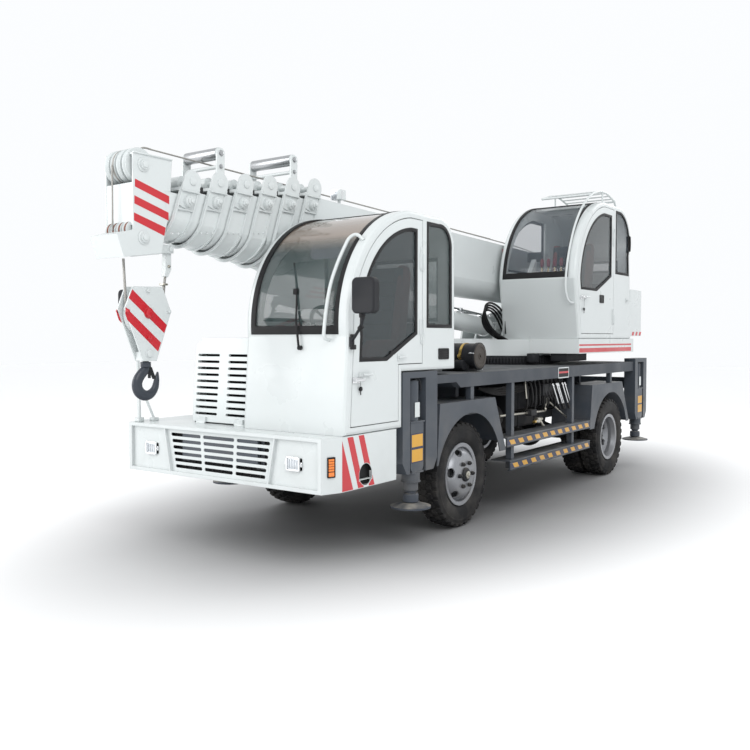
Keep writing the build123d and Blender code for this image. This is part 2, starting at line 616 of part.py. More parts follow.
# One row per cab. Points are (y, z) of the side profile: front foot, sill of the windscreen, three points of the
# front bow, roof, three points of the rear bow and the rear foot; "step" is an optional raised floor behind.
DRIVER = dict(
    x0=88.0, x1=BODY_HALF_WIDTH, foot=(200.0, BUMPER_TOP_Z + CLEAR), sill=(247.0, 1683.0), bow=(440.0, 2330.0), crown=(1058.0, 2667.0),
    roof=(1480.0, 2664.0), shoulder=(1690.0, 2588.0), nape=(1752.0, 2400.0), heel=(1764.0, POST_TOP_Z + 6),
    step=(940.0, POST_TOP_Z + 6), screen_end=1090.0,
    door_front=236.0, door_rear=1226.0, door_step=(925.0, 1446.0),
    glass_foot=1500.0, glass_kick=(724.0, 1736.0), quarter=(1292.0, 1755.0), hinge_z=(1760.0, 2280.0), handle=(400.0, 1408.0))
OPERATOR = dict(
    x0=100.0, x1=DECK_HALF_WIDTH, foot=(4640.0, TURRET_TOP_Z + CLEAR), sill=(4510.0, 2343.0), bow=(4720.0, 2900.0), crown=(5400.0, 3300.0),
    roof=(5950.0, 3303.0), shoulder=(6240.0, 3190.0), nape=(6345.0, 2720.0), heel=(6425.0, TURRET_TOP_Z + CLEAR),
    step=None, screen_end=5420.0,
    door_front=4500.0, door_rear=5735.0, door_step=None,
    glass_foot=2225.0, glass_kick=(5176.0, 2450.0), quarter=(5800.0, 2465.0), hinge_z=(1900.0, 2950.0), handle=(4760.0, 2140.0))


def cab_profile(c):
    """Side view of a cab: banana front, flat roof and rounded back."""
    line = (Line(c["foot"], c["sill"]) + ThreePointArc(c["sill"], c["bow"], c["crown"]) + Line(c["crown"], c["roof"]) +
            ThreePointArc(c["roof"], c["shoulder"], c["nape"]) + Line(c["nape"], c["heel"]))
    if c["step"]:
        line += Polyline(c["heel"], c["step"], (c["step"][0], c["foot"][1]), c["foot"])
    else:
        line += Line(c["heel"], c["foot"])
    return make_face(line)


def door_face(c, inset):
    """Door outline, inset from the profile all round; more inset gives the leaf and its glass."""
    edge = offset(cab_profile(c), -inset, kind=Kind.INTERSECTION)
    grow = inset - DOOR_EDGE
    y0, y1 = c["door_front"] - 200, c["door_rear"] - grow
    z0 = c["foot"][1]
    if c["door_step"]:
        step_y, step_z = c["door_step"][0] - grow, c["door_step"][1] + grow
        zone = shape((y0, z0), (step_y, z0), (step_y, step_z), (y1, step_z), (y1, 4000), (y0, 4000))
    else:
        zone = shape((y0, z0), (y1, z0), (y1, 4000), (y0, 4000))
    return edge & zone


DOOR_EDGE = 62.0
DOOR_FRAME = 72.0


def door_glass_face(c, grow):
    """Window in the door: follows the bow, with its lower rear corner cut away."""
    face = door_face(c, DOOR_EDGE + DOOR_FRAME - grow)
    z = c["glass_foot"] - grow
    kick_y, kick_z = c["glass_kick"]
    cut = shape((c["door_front"] - 300, z), (kick_y, z), (c["door_rear"], kick_z - grow), (c["door_rear"], 4000),
                (c["door_front"] - 300, 4000))
    return face & cut


def quarter_face(c, grow):
    edge = offset(cab_profile(c), -(DOOR_EDGE - 4 - grow), kind=Kind.INTERSECTION)
    y0, z0 = c["quarter"]
    zone = shape((y0 - grow, z0 - grow), (c["heel"][0], z0 - grow), (c["heel"][0], 4000), (y0 - grow, 4000))
    return edge & zone


def rolled(profile, x0, x1):
    """Profile extruded from x0 to x1, with both side edges rolled in by CAB_ROLL in two bevels."""
    steep = CAB_ROLL * math.tan(math.radians(22.5)) / math.sqrt(2)
    flat = CAB_ROLL - steep
    body = across(profile, x0 + CAB_ROLL, x1 - CAB_ROLL)
    first = extrude(Plane.YZ.offset(x1 - CAB_ROLL) * profile, flat, taper=math.degrees(math.atan2(steep, flat)))
    last = extrude(Plane.YZ.offset(x1 - steep) * offset(profile, -steep, kind=Kind.INTERSECTION), steep,
                   taper=math.degrees(math.atan2(flat, steep)))
    for part in (first, last):
        body = body + part + mirror(part, Plane.YZ.offset((x0 + x1) / 2))
    return body


def cab_shell(c):
    """Hollow cab body, its side edges rolled, with door opening, windscreen, side, rear and inner windows cut."""
    outer = rolled(cab_profile(c), c["x0"], c["x1"])
    inner = across(offset(cab_profile(c), -CAB_WALL, kind=Kind.INTERSECTION), c["x0"] + CAB_WALL, c["x1"] - CAB_WALL)
    body = outer - inner
    x_in, x_out = c["x1"] - CAB_WALL - 5, c["x1"] + 5
    body -= across(door_face(c, DOOR_EDGE - DOOR_GAP), x_in, x_out)
    body -= across(quarter_face(c, CLEAR), x_in, x_out)
    body -= screen_zone(c, CLEAR)
    body -= rear_zone(c, CLEAR)
    body -= across(inner_window_face(c, CLEAR), c["x0"] - 5, c["x0"] + CAB_WALL + 5)
    return body


def screen_zone(c, grow):
    """Space that the bowed windscreen fills, seen from the front and above."""
    return block(c["x0"] + 52 - grow, c["x1"] - 92 + grow, c["foot"][0] - 400, c["screen_end"] + grow,
                 c["sill"][1] + 16 - grow, 4000)


def rear_zone(c, grow):
    width = (c["x1"] - c["x0"]) / 2 - 150
    mid = (c["x0"] + c["x1"]) / 2
    return block(mid - width - grow, mid + width + grow, c["nape"][0] - 60, c["heel"][0] + 60,
                 c["quarter"][1] + 60 - grow, c["nape"][1] - 40 + grow)


def inner_window_face(c, grow):
    edge = offset(cab_profile(c), -(150 - grow), kind=Kind.INTERSECTION)
    z0 = c["sill"][1] + 120 - grow
    zone = shape((c["foot"][0] - 300, z0), (c["quarter"][0] - 40 + grow, z0), (c["quarter"][0] - 40 + grow, 4000),
                 (c["foot"][0] - 300, 4000))
    return edge & zone


def cab_glass(c):
    """Windscreen, quarter, rear and inner panes, each set 10 mm in from the outer skin."""
    skin = across(offset(cab_profile(c), -10, kind=Kind.INTERSECTION) - offset(cab_profile(c), -10 - GLASS_T, kind=Kind.INTERSECTION),
                  c["x0"] + 2, c["x1"] - 2)
    screen = skin & screen_zone(c, 0)
    rear = skin & rear_zone(c, 0)
    quarter = across(quarter_face(c, 0), c["x1"] - 10 - GLASS_T, c["x1"] - 10)
    inner = across(inner_window_face(c, 0), c["x0"] + 10, c["x0"] + 10 + GLASS_T)
    return [screen, rear, quarter, inner]


def cab_door(c):
    """Door leaf as thick as the cab wall, with its window cut, two strap hinges and a bar handle."""
    leaf = across(door_face(c, DOOR_EDGE), c["x1"] - CAB_WALL, c["x1"])
    leaf -= across(door_glass_face(c, CLEAR), c["x1"] - CAB_WALL - 5, c["x1"] + 5)
    y = c["door_rear"] + DOOR_GAP / 2
    for z in c["hinge_z"]:
        leaf += rod((c["x1"] + HINGE_R, y, z - 60), (c["x1"] + HINGE_R, y, z + 60), HINGE_R - CLEAR)
        leaf += block(c["x1"] - 2, c["x1"] + 5, y - 44, y - 2, z - 60, z + 60)
    y, z = c["handle"]
    leaf += block(c["x1"] - 2, c["x1"] + 8, y - 40, y + 90, z - 16, z + 16)
    leaf += rod((c["x1"] + 6, y + 80, z), (c["x1"] + 34, y + 80, z), 9) + rod((c["x1"] + 32, y - 20, z), (c["x1"] + 32, y + 90, z), 9)
    return leaf


HINGE_R = 11.0
RAIL_R = 13.0
GUARD_X = (340.0, 950.0)
GUARD_YS = (5205.0, 5600.0, 6050.0)
GUARD_SLATS = 7
SLAT_W = 62.0


def driver_rail():
    """Grab rail in front of the windscreen's left edge, both ends welded to the cab."""
    x = DRIVER["x1"] - 177
    return bent_tube(RAIL_R, (x, 262, 1655), (x, 178, 1668), (x, 205, 1860), (x, 262, 2070), (x + 4, 360, 2250),
                     (x + 22, 452, 2405), (x + 74, 478, 2438), (x + 128, 492, 2386))


def roof_guard():
    """Tubular guard over the operator's roof; its left rail runs on down the windscreen as a grab rail."""
    right, left = GUARD_X
    front, middle, rear = GUARD_YS
    roof = OPERATOR["roof"][1]
    arch = [(front, roof + 70), (middle - 100, roof + 150), (middle + 120, roof + 158), (rear, roof + 92)]
    foot = (rear + 34, roof - 70)
    guard = bent_tube(RAIL_R, (left + 62, 4580, 2068), (left + 28, 4492, 2072), (left, 4456, 2205), (left, 4482, 2420),
                      (left, 4560, 2660), (left, 4700, 2930), (left, 4905, 3170), *[(left, y, z) for y, z in arch + [foot]])
    guard += bent_tube(RAIL_R, *[(right, y, z) for y, z in arch + [foot]])
    for y, z in (arch[0], arch[-1]):
        guard += rod((right, y, z), (left, y, z), RAIL_R)
    for x in GUARD_X:
        guard += rod((x, middle, roof - 10), (x, middle, roof + 150), RAIL_R - 3)
    # slats between the rails, at the height the rails have there
    for k in range(GUARD_SLATS):
        y = front + (rear - front) * (k + 1) / (GUARD_SLATS + 1)
        (y0, z0), (y1, z1) = next(span for span in zip(arch, arch[1:]) if span[1][0] >= y)
        z = z0 + (z1 - z0) * (y - y0) / (y1 - y0)
        guard += block(right, left, y - SLAT_W / 2, y + SLAT_W / 2, z - 6, z)
    return guard


fittings = {"driver": driver_rail(), "operator": roof_guard()}
for name, spec in (("driver", DRIVER), ("operator", OPERATOR)):
    save(f"{name}_cab_shell", cab_shell(spec) + fittings[name])
    save(f"{name}_cab_glass", *cab_glass(spec))
    save(f"{name}_door", cab_door(spec))
    save(f"{name}_door_glass", across(door_glass_face(spec, 0), spec["x1"] - 10 - GLASS_T, spec["x1"] - 10))


# ---------------------------------------------------------------- cab fittings
SEAT_X = 600.0
DRIVER_SEAT_Y = 1090.0
DRIVER_CUSHION_Z = 1560.0
OPERATOR_SEAT_Y = 5300.0
OPERATOR_CUSHION_Z = 2120.0
LEVER_PITCH = 80.0


def seat(x, y, floor_z, cushion_z):
    """Bucket seat on a box base: cushion, backrest and headrest in one moulded piece."""
    base = block(x - 190, x + 190, y - 210, y + 200, floor_z + CLEAR, cushion_z - 60)
    side = make_face(Polyline((y - 260, cushion_z - 60), (y + 230, cushion_z - 60), (y + 330, cushion_z + 640), (y + 290, cushion_z + 700),
                              (y + 220, cushion_z + 690), (y + 130, cushion_z + 90), (y - 240, cushion_z + 80),
                              (y - 275, cushion_z + 20), (y - 260, cushion_z - 60)))
    return base + across(side, x - 240, x + 240)


def steering():
    """Dashboard across the cab's front with a sloping column and the wheel."""
    floor_z = DRIVER["foot"][1] + CAB_WALL
    x0, x1 = DRIVER["x0"] + CAB_WALL + CLEAR, DRIVER["x1"] - CAB_WALL - 80
    dash = across(shape((300, floor_z + CLEAR), (440, floor_z + CLEAR), (470, 1480), (540, 1590), (500, 1640), (310, 1600)), x0, x1)
    wheel_x = SEAT_X
    centre = Vector(wheel_x, 700, 1760)
    column = rod((wheel_x, 480, 1560), centre, 24)
    plane = Plane(origin=centre, z_dir=(0, 220, 200))
    ring = plane * Torus(205, 15)
    for angle in (90, 210, 330):
        end = plane.from_local_coords(Vector(203 * math.cos(math.radians(angle)), 203 * math.sin(math.radians(angle)), 0))
        column += rod(centre, end, 11)
    return dash + column + ring


def levers():
    """Control console beside the operator's feet with its row of slewing, luffing and hoisting levers."""
    floor_z = OPERATOR["foot"][1] + CAB_WALL
    console = across(shape((4700, floor_z + CLEAR), (4850, floor_z + CLEAR), (4850, 2180), (4760, 2260), (4700, 2240)), 480, 900)
    for x in (SEAT_X + LEVER_PITCH * k for k in range(-1, 4)):
        console += rod((x, 4775, 2230), (x, 4800, 2520), 8) + rod((x, 4800, 2500), (x, 4803, 2560), 17)
    return console


save("driver_seat", seat(SEAT_X, DRIVER_SEAT_Y, DRIVER["step"][1] + CAB_WALL, DRIVER_CUSHION_Z), steering())
save("operator_seat", seat(SEAT_X, OPERATOR_SEAT_Y, OPERATOR["foot"][1] + CAB_WALL, OPERATOR_CUSHION_Z), levers())


# ---------------------------------------------------------------- hood, power train, tanks
HOOD_X0 = -575.0
HOOD_X1 = DRIVER["x0"] - 4
HOOD_Y0 = 290.0
HOOD_Y1 = 1750.0
HOOD_TOP_Z = 1674.0
HOOD_CHAMFER = 70.0
LID_LEAN = 60.0            # how far the front panel's top stands behind its foot
LID_T = 24.0
LID_HINGE_R = 10.0
LID_ROWS = 10
LID_ROW_TOP = 1532.0
LID_ROW_PITCH = 53.0


def hood_front():
    """Front outline of the hood, both upper corners cut."""
    z0 = BUMPER_TOP_Z + CLEAR
    return shape((HOOD_X0, z0), (HOOD_X1, z0), (HOOD_X1, HOOD_TOP_Z - HOOD_CHAMFER), (HOOD_X1 - HOOD_CHAMFER, HOOD_TOP_Z),
                 (HOOD_X0 + HOOD_CHAMFER, HOOD_TOP_Z), (HOOD_X0, HOOD_TOP_Z - HOOD_CHAMFER))


def lean(y):
    """Side view of everything in front of a plane that leans back with the hood's front."""
    return shape((y - 900, BUMPER_TOP_Z - 10), (y, BUMPER_TOP_Z - 10), (y + LID_LEAN * 1.1, HOOD_TOP_Z + 100), (y - 900, HOOD_TOP_Z + 100))


def hood_housing():
    shell = along(hood_front(), HOOD_Y0, HOOD_Y1)
    inner = along(offset(hood_front(), -6, kind=Kind.INTERSECTION) + Pos((HOOD_X0 + HOOD_X1) / 2, BUMPER_TOP_Z) *
                  Rectangle(HOOD_X1 - HOOD_X0 - 12, 40), HOOD_Y0 - 10, HOOD_Y1 - 6)
    shell -= inner
    shell -= across(lean(HOOD_Y0 + LID_T + 3), HOOD_X0 - 10, HOOD_X1 + 10)
    # a return flange behind the lid, all round the opening
    ring = along(hood_front() - offset(hood_front(), -40, kind=Kind.INTERSECTION), HOOD_Y0 + 40, HOOD_Y0 + 140)
    ring &= across(lean(HOOD_Y0 + LID_T + 11) - lean(HOOD_Y0 + LID_T + 3), HOOD_X0 - 10, HOOD_X1 + 10)
    return shell + ring


def hood_lid():
    """Slatted front panel, hinged along its foot."""
    panel = along(offset(hood_front(), -1), HOOD_Y0 - 100, HOOD_Y0 + 300)
    panel &= across(lean(HOOD_Y0 + LID_T) - lean(HOOD_Y0), HOOD_X0, HOOD_X1)
    panel -= block(HOOD_X0 - 5, HOOD_X1 + 5, HOOD_Y0 - 50, HOOD_Y0 + 100, BUMPER_TOP_Z - 5, BUMPER_TOP_Z + 12)
    mid = (HOOD_X0 + HOOD_X1) / 2
    for row in range(LID_ROWS):
        z = LID_ROW_TOP - row * LID_ROW_PITCH
        for side in (-1, 1):
            panel -= along(Pos(mid + side * 175, z) * SlotOverall(250, 20), HOOD_Y0 - 100, HOOD_Y0 + 300)
    for x in (HOOD_X0 + 120, HOOD_X1 - 120):
        panel += rod((x - 45, LID_HINGE_Y, LID_HINGE_Z), (x + 45, LID_HINGE_Y, LID_HINGE_Z), LID_HINGE_R - CLEAR)
        panel += block(x - 45, x + 45, LID_HINGE_Y - 3, HOOD_Y0 + 6, LID_HINGE_Z, LID_HINGE_Z + 40)
    return panel


LID_HINGE_Y = HOOD_Y0 - 9
LID_HINGE_Z = BUMPER_TOP_Z + LID_HINGE_R

save("hood_housing", hood_housing())
save("hood_lid", hood_lid())

SHAFT_START = (ENGINE_X + 45, 1035.0, 618.0)
SHAFT_END = (0.0, REAR_AXLE_Y - 285.0, TYRE_R + 12)


def power_train():
    """Engine as one plain block between the rails, its gearbox, and the propeller shaft to the rear axle."""
    engine = block(ENGINE_X - 240, ENGINE_X + 240, ENGINE_Y0 - 10, 1040, 990, 1500)
    engine += block(ENGINE_X - ENGINE_HALF, ENGINE_X + ENGINE_HALF, ENGINE_Y0, 1040, 560, 1000)
    mount = block(-RAIL_X + RAIL_W / 2 + CLEAR, ENGINE_X - ENGINE_HALF + 5, 680, 780, 760, 840)
    return engine + mount + rod(SHAFT_START, SHAFT_END, 30)


VALVE_X1 = DECK_HALF_WIDTH - 90
VALVE_X0 = VALVE_X1 - 130
VALVE_Y0 = 3860.0
VALVES = 6
VALVE_PITCH = 78.0
VALVE_TANK_GAP = 90.0
FUEL_DEPTH = 330.0
TANK_Z = 950.0
AIR_TANK_R = 130.0
AIR_TANK_Z = 850.0
AIR_CLEANER_X1 = DECK_HALF_WIDTH - 95
AIR_CLEANER_Y = 2440.0
AIR_CLEANER_Z = 1505.0
AIR_CLEANER_R = 118.0


def tanks():
    """Fuel tank on the right rail, hydraulic oil tank and air reservoir on the left one."""
    x0 = RAIL_X + RAIL_W / 2 + CLEAR
    oil_depth = VALVE_X0 - VALVE_TANK_GAP - x0
    fuel = mirror(along(rounded(FUEL_DEPTH, 470, 60, x0 + FUEL_DEPTH / 2, TANK_Z), 3020, 4250), Plane.YZ)
    oil = along(rounded(oil_depth, 460, 30, x0 + oil_depth / 2, TANK_Z), 3560, 4260)
    air = rod((x0 + AIR_TANK_R, 2640, AIR_TANK_Z), (x0 + AIR_TANK_R, 3440, AIR_TANK_Z), AIR_TANK_R)
    return [fuel, oil, air]


def air_cleaner():
    """Drum air cleaner lying across the deck behind the cab, on a saddle."""
    y, z, x1 = AIR_CLEANER_Y, AIR_CLEANER_Z, AIR_CLEANER_X1
    drum = rod((x1 - 435, y, z), (x1 - 25, y, z), AIR_CLEANER_R) + rod((x1 - 30, y, z), (x1, y, z), AIR_CLEANER_R + 8)
    saddle = block(x1 - 355, x1 - 75, y - 90, y + 90, DECK_TOP_Z + CLEAR, z - 65)
    duct = rod((x1 - 395, y - 130, z - 80), (x1 - 95, y - 130, z - 80), 46)
    return drum + saddle + duct + block(x1 - 315, x1 - 255, y - 130, y - 60, z - 105, z - 55)


def valve_bank():
    """Outrigger control valves under the deck's left edge, with their levers and hose stubs."""
    body = block(VALVE_X0, VALVE_X1, VALVE_Y0, VALVE_Y0 + 470, 1060, 1180)
    body += block(VALVE_X0 + 30, VALVE_X1 - 30, VALVE_Y0 + 40, VALVE_Y0 + 440, 1175, DECK_TOP_Z - DECK_PLATE_T - CLEAR)
    for k in range(VALVES):
        x, y = VALVE_X1 - 60, VALVE_Y0 + 40 + VALVE_PITCH * k
        body += rod((x, y, 1065), (x, y, 960), 16)
        body += rod((x + 50, y, 1120), (x + 100, y + 20, 1010), 7)
    return body


save("power_train", power_train())
save("tanks", *tanks())
save("air_cleaner", air_cleaner())
save("valve_bank", valve_bank())


# ---------------------------------------------------------------- mirrors
MIRROR_X = 1258.0
MIRROR_Y = 190.0
MIRROR_Z = 1965.0


def mirror_head():
    head = along(rounded(190, 250, 40, MIRROR_X, MIRROR_Z), MIRROR_Y - 34, MIRROR_Y + 34)
    return fillet(head.edges().filter_by(Plane.XZ), 12)


def left_mirror():
    bracket = block(BODY_HALF_WIDTH + CLEAR, BODY_HALF_WIDTH + 22, 248, 282, 1610, 1680)
    bend = (BODY_HALF_WIDTH + 130, 200, 1740)
    arm = rod((BODY_HALF_WIDTH + 14, 262, 1650), bend, 11) + Pos(*bend) * Sphere(11)
    arm += rod(bend, (MIRROR_X, MIRROR_Y, MIRROR_Z - 110), 11)
    return mirror_head() + arm + bracket


def right_mirror():
    """Mirror on a braced post that stands on the bumper, as the cab is on the other side."""
    top = (1062, 120, MIRROR_Z + 40)
    foot = BUMPER_TOP_Z + CLEAR
    post = rod((1035, 120, foot), top, 13)
    post += rod((1040, 120, MIRROR_Z - 40), (MIRROR_X, MIRROR_Y, MIRROR_Z - 40), 10)
    post += rod((1037, 120, foot + 330), (960, 60, foot + 16), 9) + rod((1037, 120, foot + 330), (930, 190, foot + 16), 9)
    for x, y in ((1035, 120), (960, 60), (930, 190)):
        post += block(x - 26, x + 26, y - 26, y + 26, foot, foot + 24)
    return mirror(mirror_head() + post, Plane.YZ)


save("mirrors", left_mirror(), right_mirror())


# ---------------------------------------------------------------- slewing ring and turret
RING_BORE_R = 500.0
RING_GAP = 0.5
RING_TOP_Z = 1465.0
MAST_INNER = BASE_HALF_WIDTH + 24
MAST_T = 26.0
SKIRT_T = 12.0
COUNTER_Z0 = 1700.0
COUNTER_Z1 = 2310.0
COUNTER_HALF = 1000.0
COUNTER_SLAB = 96.0
WINCH_Y = 6880.0
WINCH_Z = 2120.0
WINCH_R = 105.0
WINCH_FLANGE_R = 150.0


def slew_ring():
    ring = upward(Pos(0, SLEW_Y) * (Circle(SLEW_R) - Circle(RING_BORE_R)), DECK_TOP_Z + CLEAR, RING_TOP_Z)
    return ring


def mast_outline():
    foot_y, foot_z = CYL_FOOT
    line = Polyline((foot_y - 200, TURRET_TOP_Z - 2), (foot_y - 130, foot_z + 90), (foot_y + 130, foot_z + 110), (LUFF_Y - 520, 2080),
                    (LUFF_Y - 140, LUFF_Z + 70))
    line += ThreePointArc((LUFF_Y - 140, LUFF_Z + 70), (LUFF_Y, LUFF_Z + 155), (LUFF_Y + 140, LUFF_Z + 70))
    line += Polyline((LUFF_Y + 140, LUFF_Z + 70), (WINCH_Y - 100, WINCH_Z + 190), (COUNTER_Y1 - 10, WINCH_Z + 150),
                     (COUNTER_Y1 - 10, COUNTER_Z0 + COUNTER_SLAB + CLEAR), (TURRET_REAR_Y - 20, COUNTER_Z0 + COUNTER_SLAB + CLEAR),
                     (TURRET_REAR_Y - 20, TURRET_TOP_Z - 2), (foot_y - 200, TURRET_TOP_Z - 2))
    return make_face(line)


def turret_frame():
    x1 = OPERATOR["x1"]
    base = block(-x1, x1, TURRET_FRONT_Y, TURRET_REAR_Y, TURRET_Z0, TURRET_TOP_Z)
    base -= block(-x1 + SKIRT_T, x1 - SKIRT_T, TURRET_FRONT_Y + SKIRT_T, TURRET_REAR_Y - SKIRT_T, TURRET_Z0 - 1, TURRET_TOP_Z - SKIRT_T)
    base += upward(Pos(0, SLEW_Y) * (Circle(SLEW_R - 60) - Circle(RING_BORE_R - 30)), RING_TOP_Z + RING_GAP, TURRET_TOP_Z - SKIRT_T + 1)
    foot_y, foot_z = CYL_FOOT
    for side in (-1, 1):
        inner = BOOM_X + side * MAST_INNER
        outer = inner + side * MAST_T
        base += across(mast_outline(), min(inner, outer), max(inner, outer))
        # lug of the lift cylinder's foot pin
        lug_in = BOOM_X + side * (CYL_R + 8)
        lug_out = lug_in + side * 24
        lug = shape((foot_y - 120, TURRET_TOP_Z - 2), (foot_y + 120, TURRET_TOP_Z - 2), (foot_y + 60, foot_z + 20), (foot_y - 60, foot_z + 20))
        lug += Pos(foot_y, foot_z) * Circle(62)
        base += across(lug, min(lug_in, lug_out), max(lug_in, lug_out))
    # cross plates that tie the mast together
    base += block(BOOM_X - MAST_INNER - 1, BOOM_X + MAST_INNER + 1, TURRET_REAR_Y - 60, TURRET_REAR_Y - 34, TURRET_TOP_Z - 2, 1960)
    base += rod((BOOM_X - MAST_INNER - MAST_T, foot_y, foot_z), (BOOM_X + MAST_INNER + MAST_T, foot_y, foot_z), 30)
    base += rod((BOOM_X - MAST_INNER - MAST_T - 6, LUFF_Y, LUFF_Z), (BOOM_X + MAST_INNER + MAST_T + 6, LUFF_Y, LUFF_Z), LUFF_PIN_R)
    for side in (-1, 1):
        x = BOOM_X + side * MAST_INNER
        base += rod((x, WINCH_Y, WINCH_Z), (x - side * 60, WINCH_Y, WINCH_Z), 34)
    return base


def counterweight():
    mid = BOOM_X
    gap = MAST_INNER + MAST_T + 20
    plan = shape((-COUNTER_HALF, COUNTER_Y0), (COUNTER_HALF, COUNTER_Y0), (COUNTER_HALF, COUNTER_Y1 - 60), (COUNTER_HALF - 60, COUNTER_Y1),
                 (-COUNTER_HALF + 60, COUNTER_Y1), (-COUNTER_HALF, COUNTER_Y1 - 60))
    body = upward(plan, COUNTER_Z0, COUNTER_Z1)
    return body - block(mid - gap, mid + gap, COUNTER_Y0 - 10, COUNTER_Y1 + 10, COUNTER_Z0 + COUNTER_SLAB, COUNTER_Z1 + 10)


def winch_drum():
    half = MAST_INNER - 12
    drum = rod((BOOM_X - half, WINCH_Y, WINCH_Z), (BOOM_X + half, WINCH_Y, WINCH_Z), WINCH_R)
    for side in (-1, 1):
        x = BOOM_X + side * (half - 30)
        drum += rod((x, WINCH_Y, WINCH_Z), (x + side * 16, WINCH_Y, WINCH_Z), WINCH_FLANGE_R)
        end = BOOM_X + side * (half + 1)
        drum -= rod((end, WINCH_Y, WINCH_Z), (end - side * 52, WINCH_Y, WINCH_Z), 34 + CLEAR)
    return drum


save("slew_ring", slew_ring())
save("turret_frame", turret_frame())
save("counterweight", counterweight())
save("winch_drum", winch_drum())


# ---------------------------------------------------------------- telescopic boom
# Modelled level, with the luff pin on the origin and y rearward along the boom, then tilted into place.
EAR_R = 82.0
EAR_RISE = 73.0
EAR_T = 14.0
BOSS_DROP = 156.0
RIB_DROP = 222.0
RIM_T = 14.0
TAIL_Y = 100.0
PAD_LEN = 60.0
BORE_TAIL_Y = -230.0
TAIL_STEP = 24.0


def half_width(k):
    return BASE_HALF_WIDTH - STEP_SIDE * (k - 1)


def section_face(k, grow):
    """Cross-section of section k: straight sides, flat top and a rounded belly."""
    w = half_width(k) + grow
    top = BASE_TOP - STEP_TOP * (k - 1) + grow
    bottom = BASE_BOTTOM + STEP_BOTTOM * (k - 1) - grow
    spring_line = BASE_BOTTOM + STEP_BOTTOM * (k - 1) + BASE_BELLY - STEP_BELLY * (k - 1)
    return make_face(Polyline((-w, spring_line), (-w, top), (w, top), (w, spring_line)) +
                     ThreePointArc((w, spring_line), (0, bottom), (-w, spring_line)))


def ear_centre(k):
    return (COLLAR_Y - LUFF_Y - COLLAR_PITCH * (k - 1), BASE_TOP - STEP_TOP * (k - 1) + EAR_RISE)


def slanted_slab(k, shift, thickness):
    """Slice across the boom, parallel to the collar's slant; shift is measured along the boom at ear height."""
    y, z = ear_centre(k)
    return Pos(0, y + shift, z) * Rot(-COLLAR_SLANT, 0, 0) * Box(900, thickness, 1600)


def collar(k):
    """Guide collar at the mouth of section k: two rims, web plate, ribs, wear-pad bosses and the top ears."""
    y, z = ear_centre(k)
    w = half_width(k)
    rim = along(section_face(k, COLLAR_RIM) - section_face(k, -SECTION_WALL), y - 500, y + 300)
    band = along(section_face(k, 5) - section_face(k, -SECTION_WALL), y - 500, y + 300)
    part = band & slanted_slab(k, 0, COLLAR_LEN)
    for side in (-1, 1):
        part += rim & slanted_slab(k, side * (COLLAR_LEN - RIM_T) / 2, RIM_T)
    foot = Pos(0, -RIB_DROP / 2) * Rectangle(2 * EAR_R, RIB_DROP) + Circle(EAR_R)
    ear = Pos(y, z) * Rot(0, 0, -COLLAR_SLANT) * foot
    for side in (-1, 1):
        inner, outer = side * (w - 1), side * (w + EAR_T)
        part += across(ear, min(inner, outer), max(inner, outer))
        pin_y, pin_z = y + math.sin(math.radians(-COLLAR_SLANT)) * BOSS_DROP, z - BOSS_DROP
        part += rod((side * w, pin_y, pin_z), (side * (w + 42), pin_y, pin_z), 42)
        rib_y = y - math.sin(math.radians(COLLAR_SLANT)) * RIB_DROP
        part += block(min(side * w, side * (w + COLLAR_RIM)), max(side * w, side * (w + COLLAR_RIM)),
                      rib_y - COLLAR_LEN / 2 + 4, rib_y + COLLAR_LEN / 2 - 4, z - RIB_DROP - 5, z - RIB_DROP + 5)
    part += rod((-w, y, z), (w, y, z), 22)
    part += rod((-w * 0.4, y, z), (w * 0.4, y, z), 52)
    # slide pads between this mouth and the next section
    pads = along(section_face(k, -SECTION_WALL + 1) - section_face(k + 1, CLEAR), y - 20, y + PAD_LEN - 20)
    return part + pads


def roller_bracket(k):
    """Rope roller on two uprights over the collar of section k."""
    y, z = ear_centre(k)
    w = half_width(k)
    part = rod((-w, y, z + 225), (w, y, z + 225), 45) + rod((-w, y, z + 125), (w, y, z + 125), 15)
    plate = shape((y - 40, z), (y + 40, z), (y + 40, z + 225), (y - 40, z + 225)) + Pos(y, z + 225) * Circle(40)
    for side in (-1, 1):
        part += across(plate, min(side * (w - 1), side * (w + EAR_T)), max(side * (w - 1), side * (w + EAR_T)))
    return part


def place_boom(part):
    return Pos(BOOM_X, LUFF_Y, LUFF_Z) * Rot(-BOOM_TILT, 0, 0) * part


def section_tube(k, y0, y1):
    return along(section_face(k, 0) - section_face(k, -SECTION_WALL), y0, y1)


def mouth_y(k):
    return ear_centre(k)[0] - COLLAR_LEN / 2 + 60


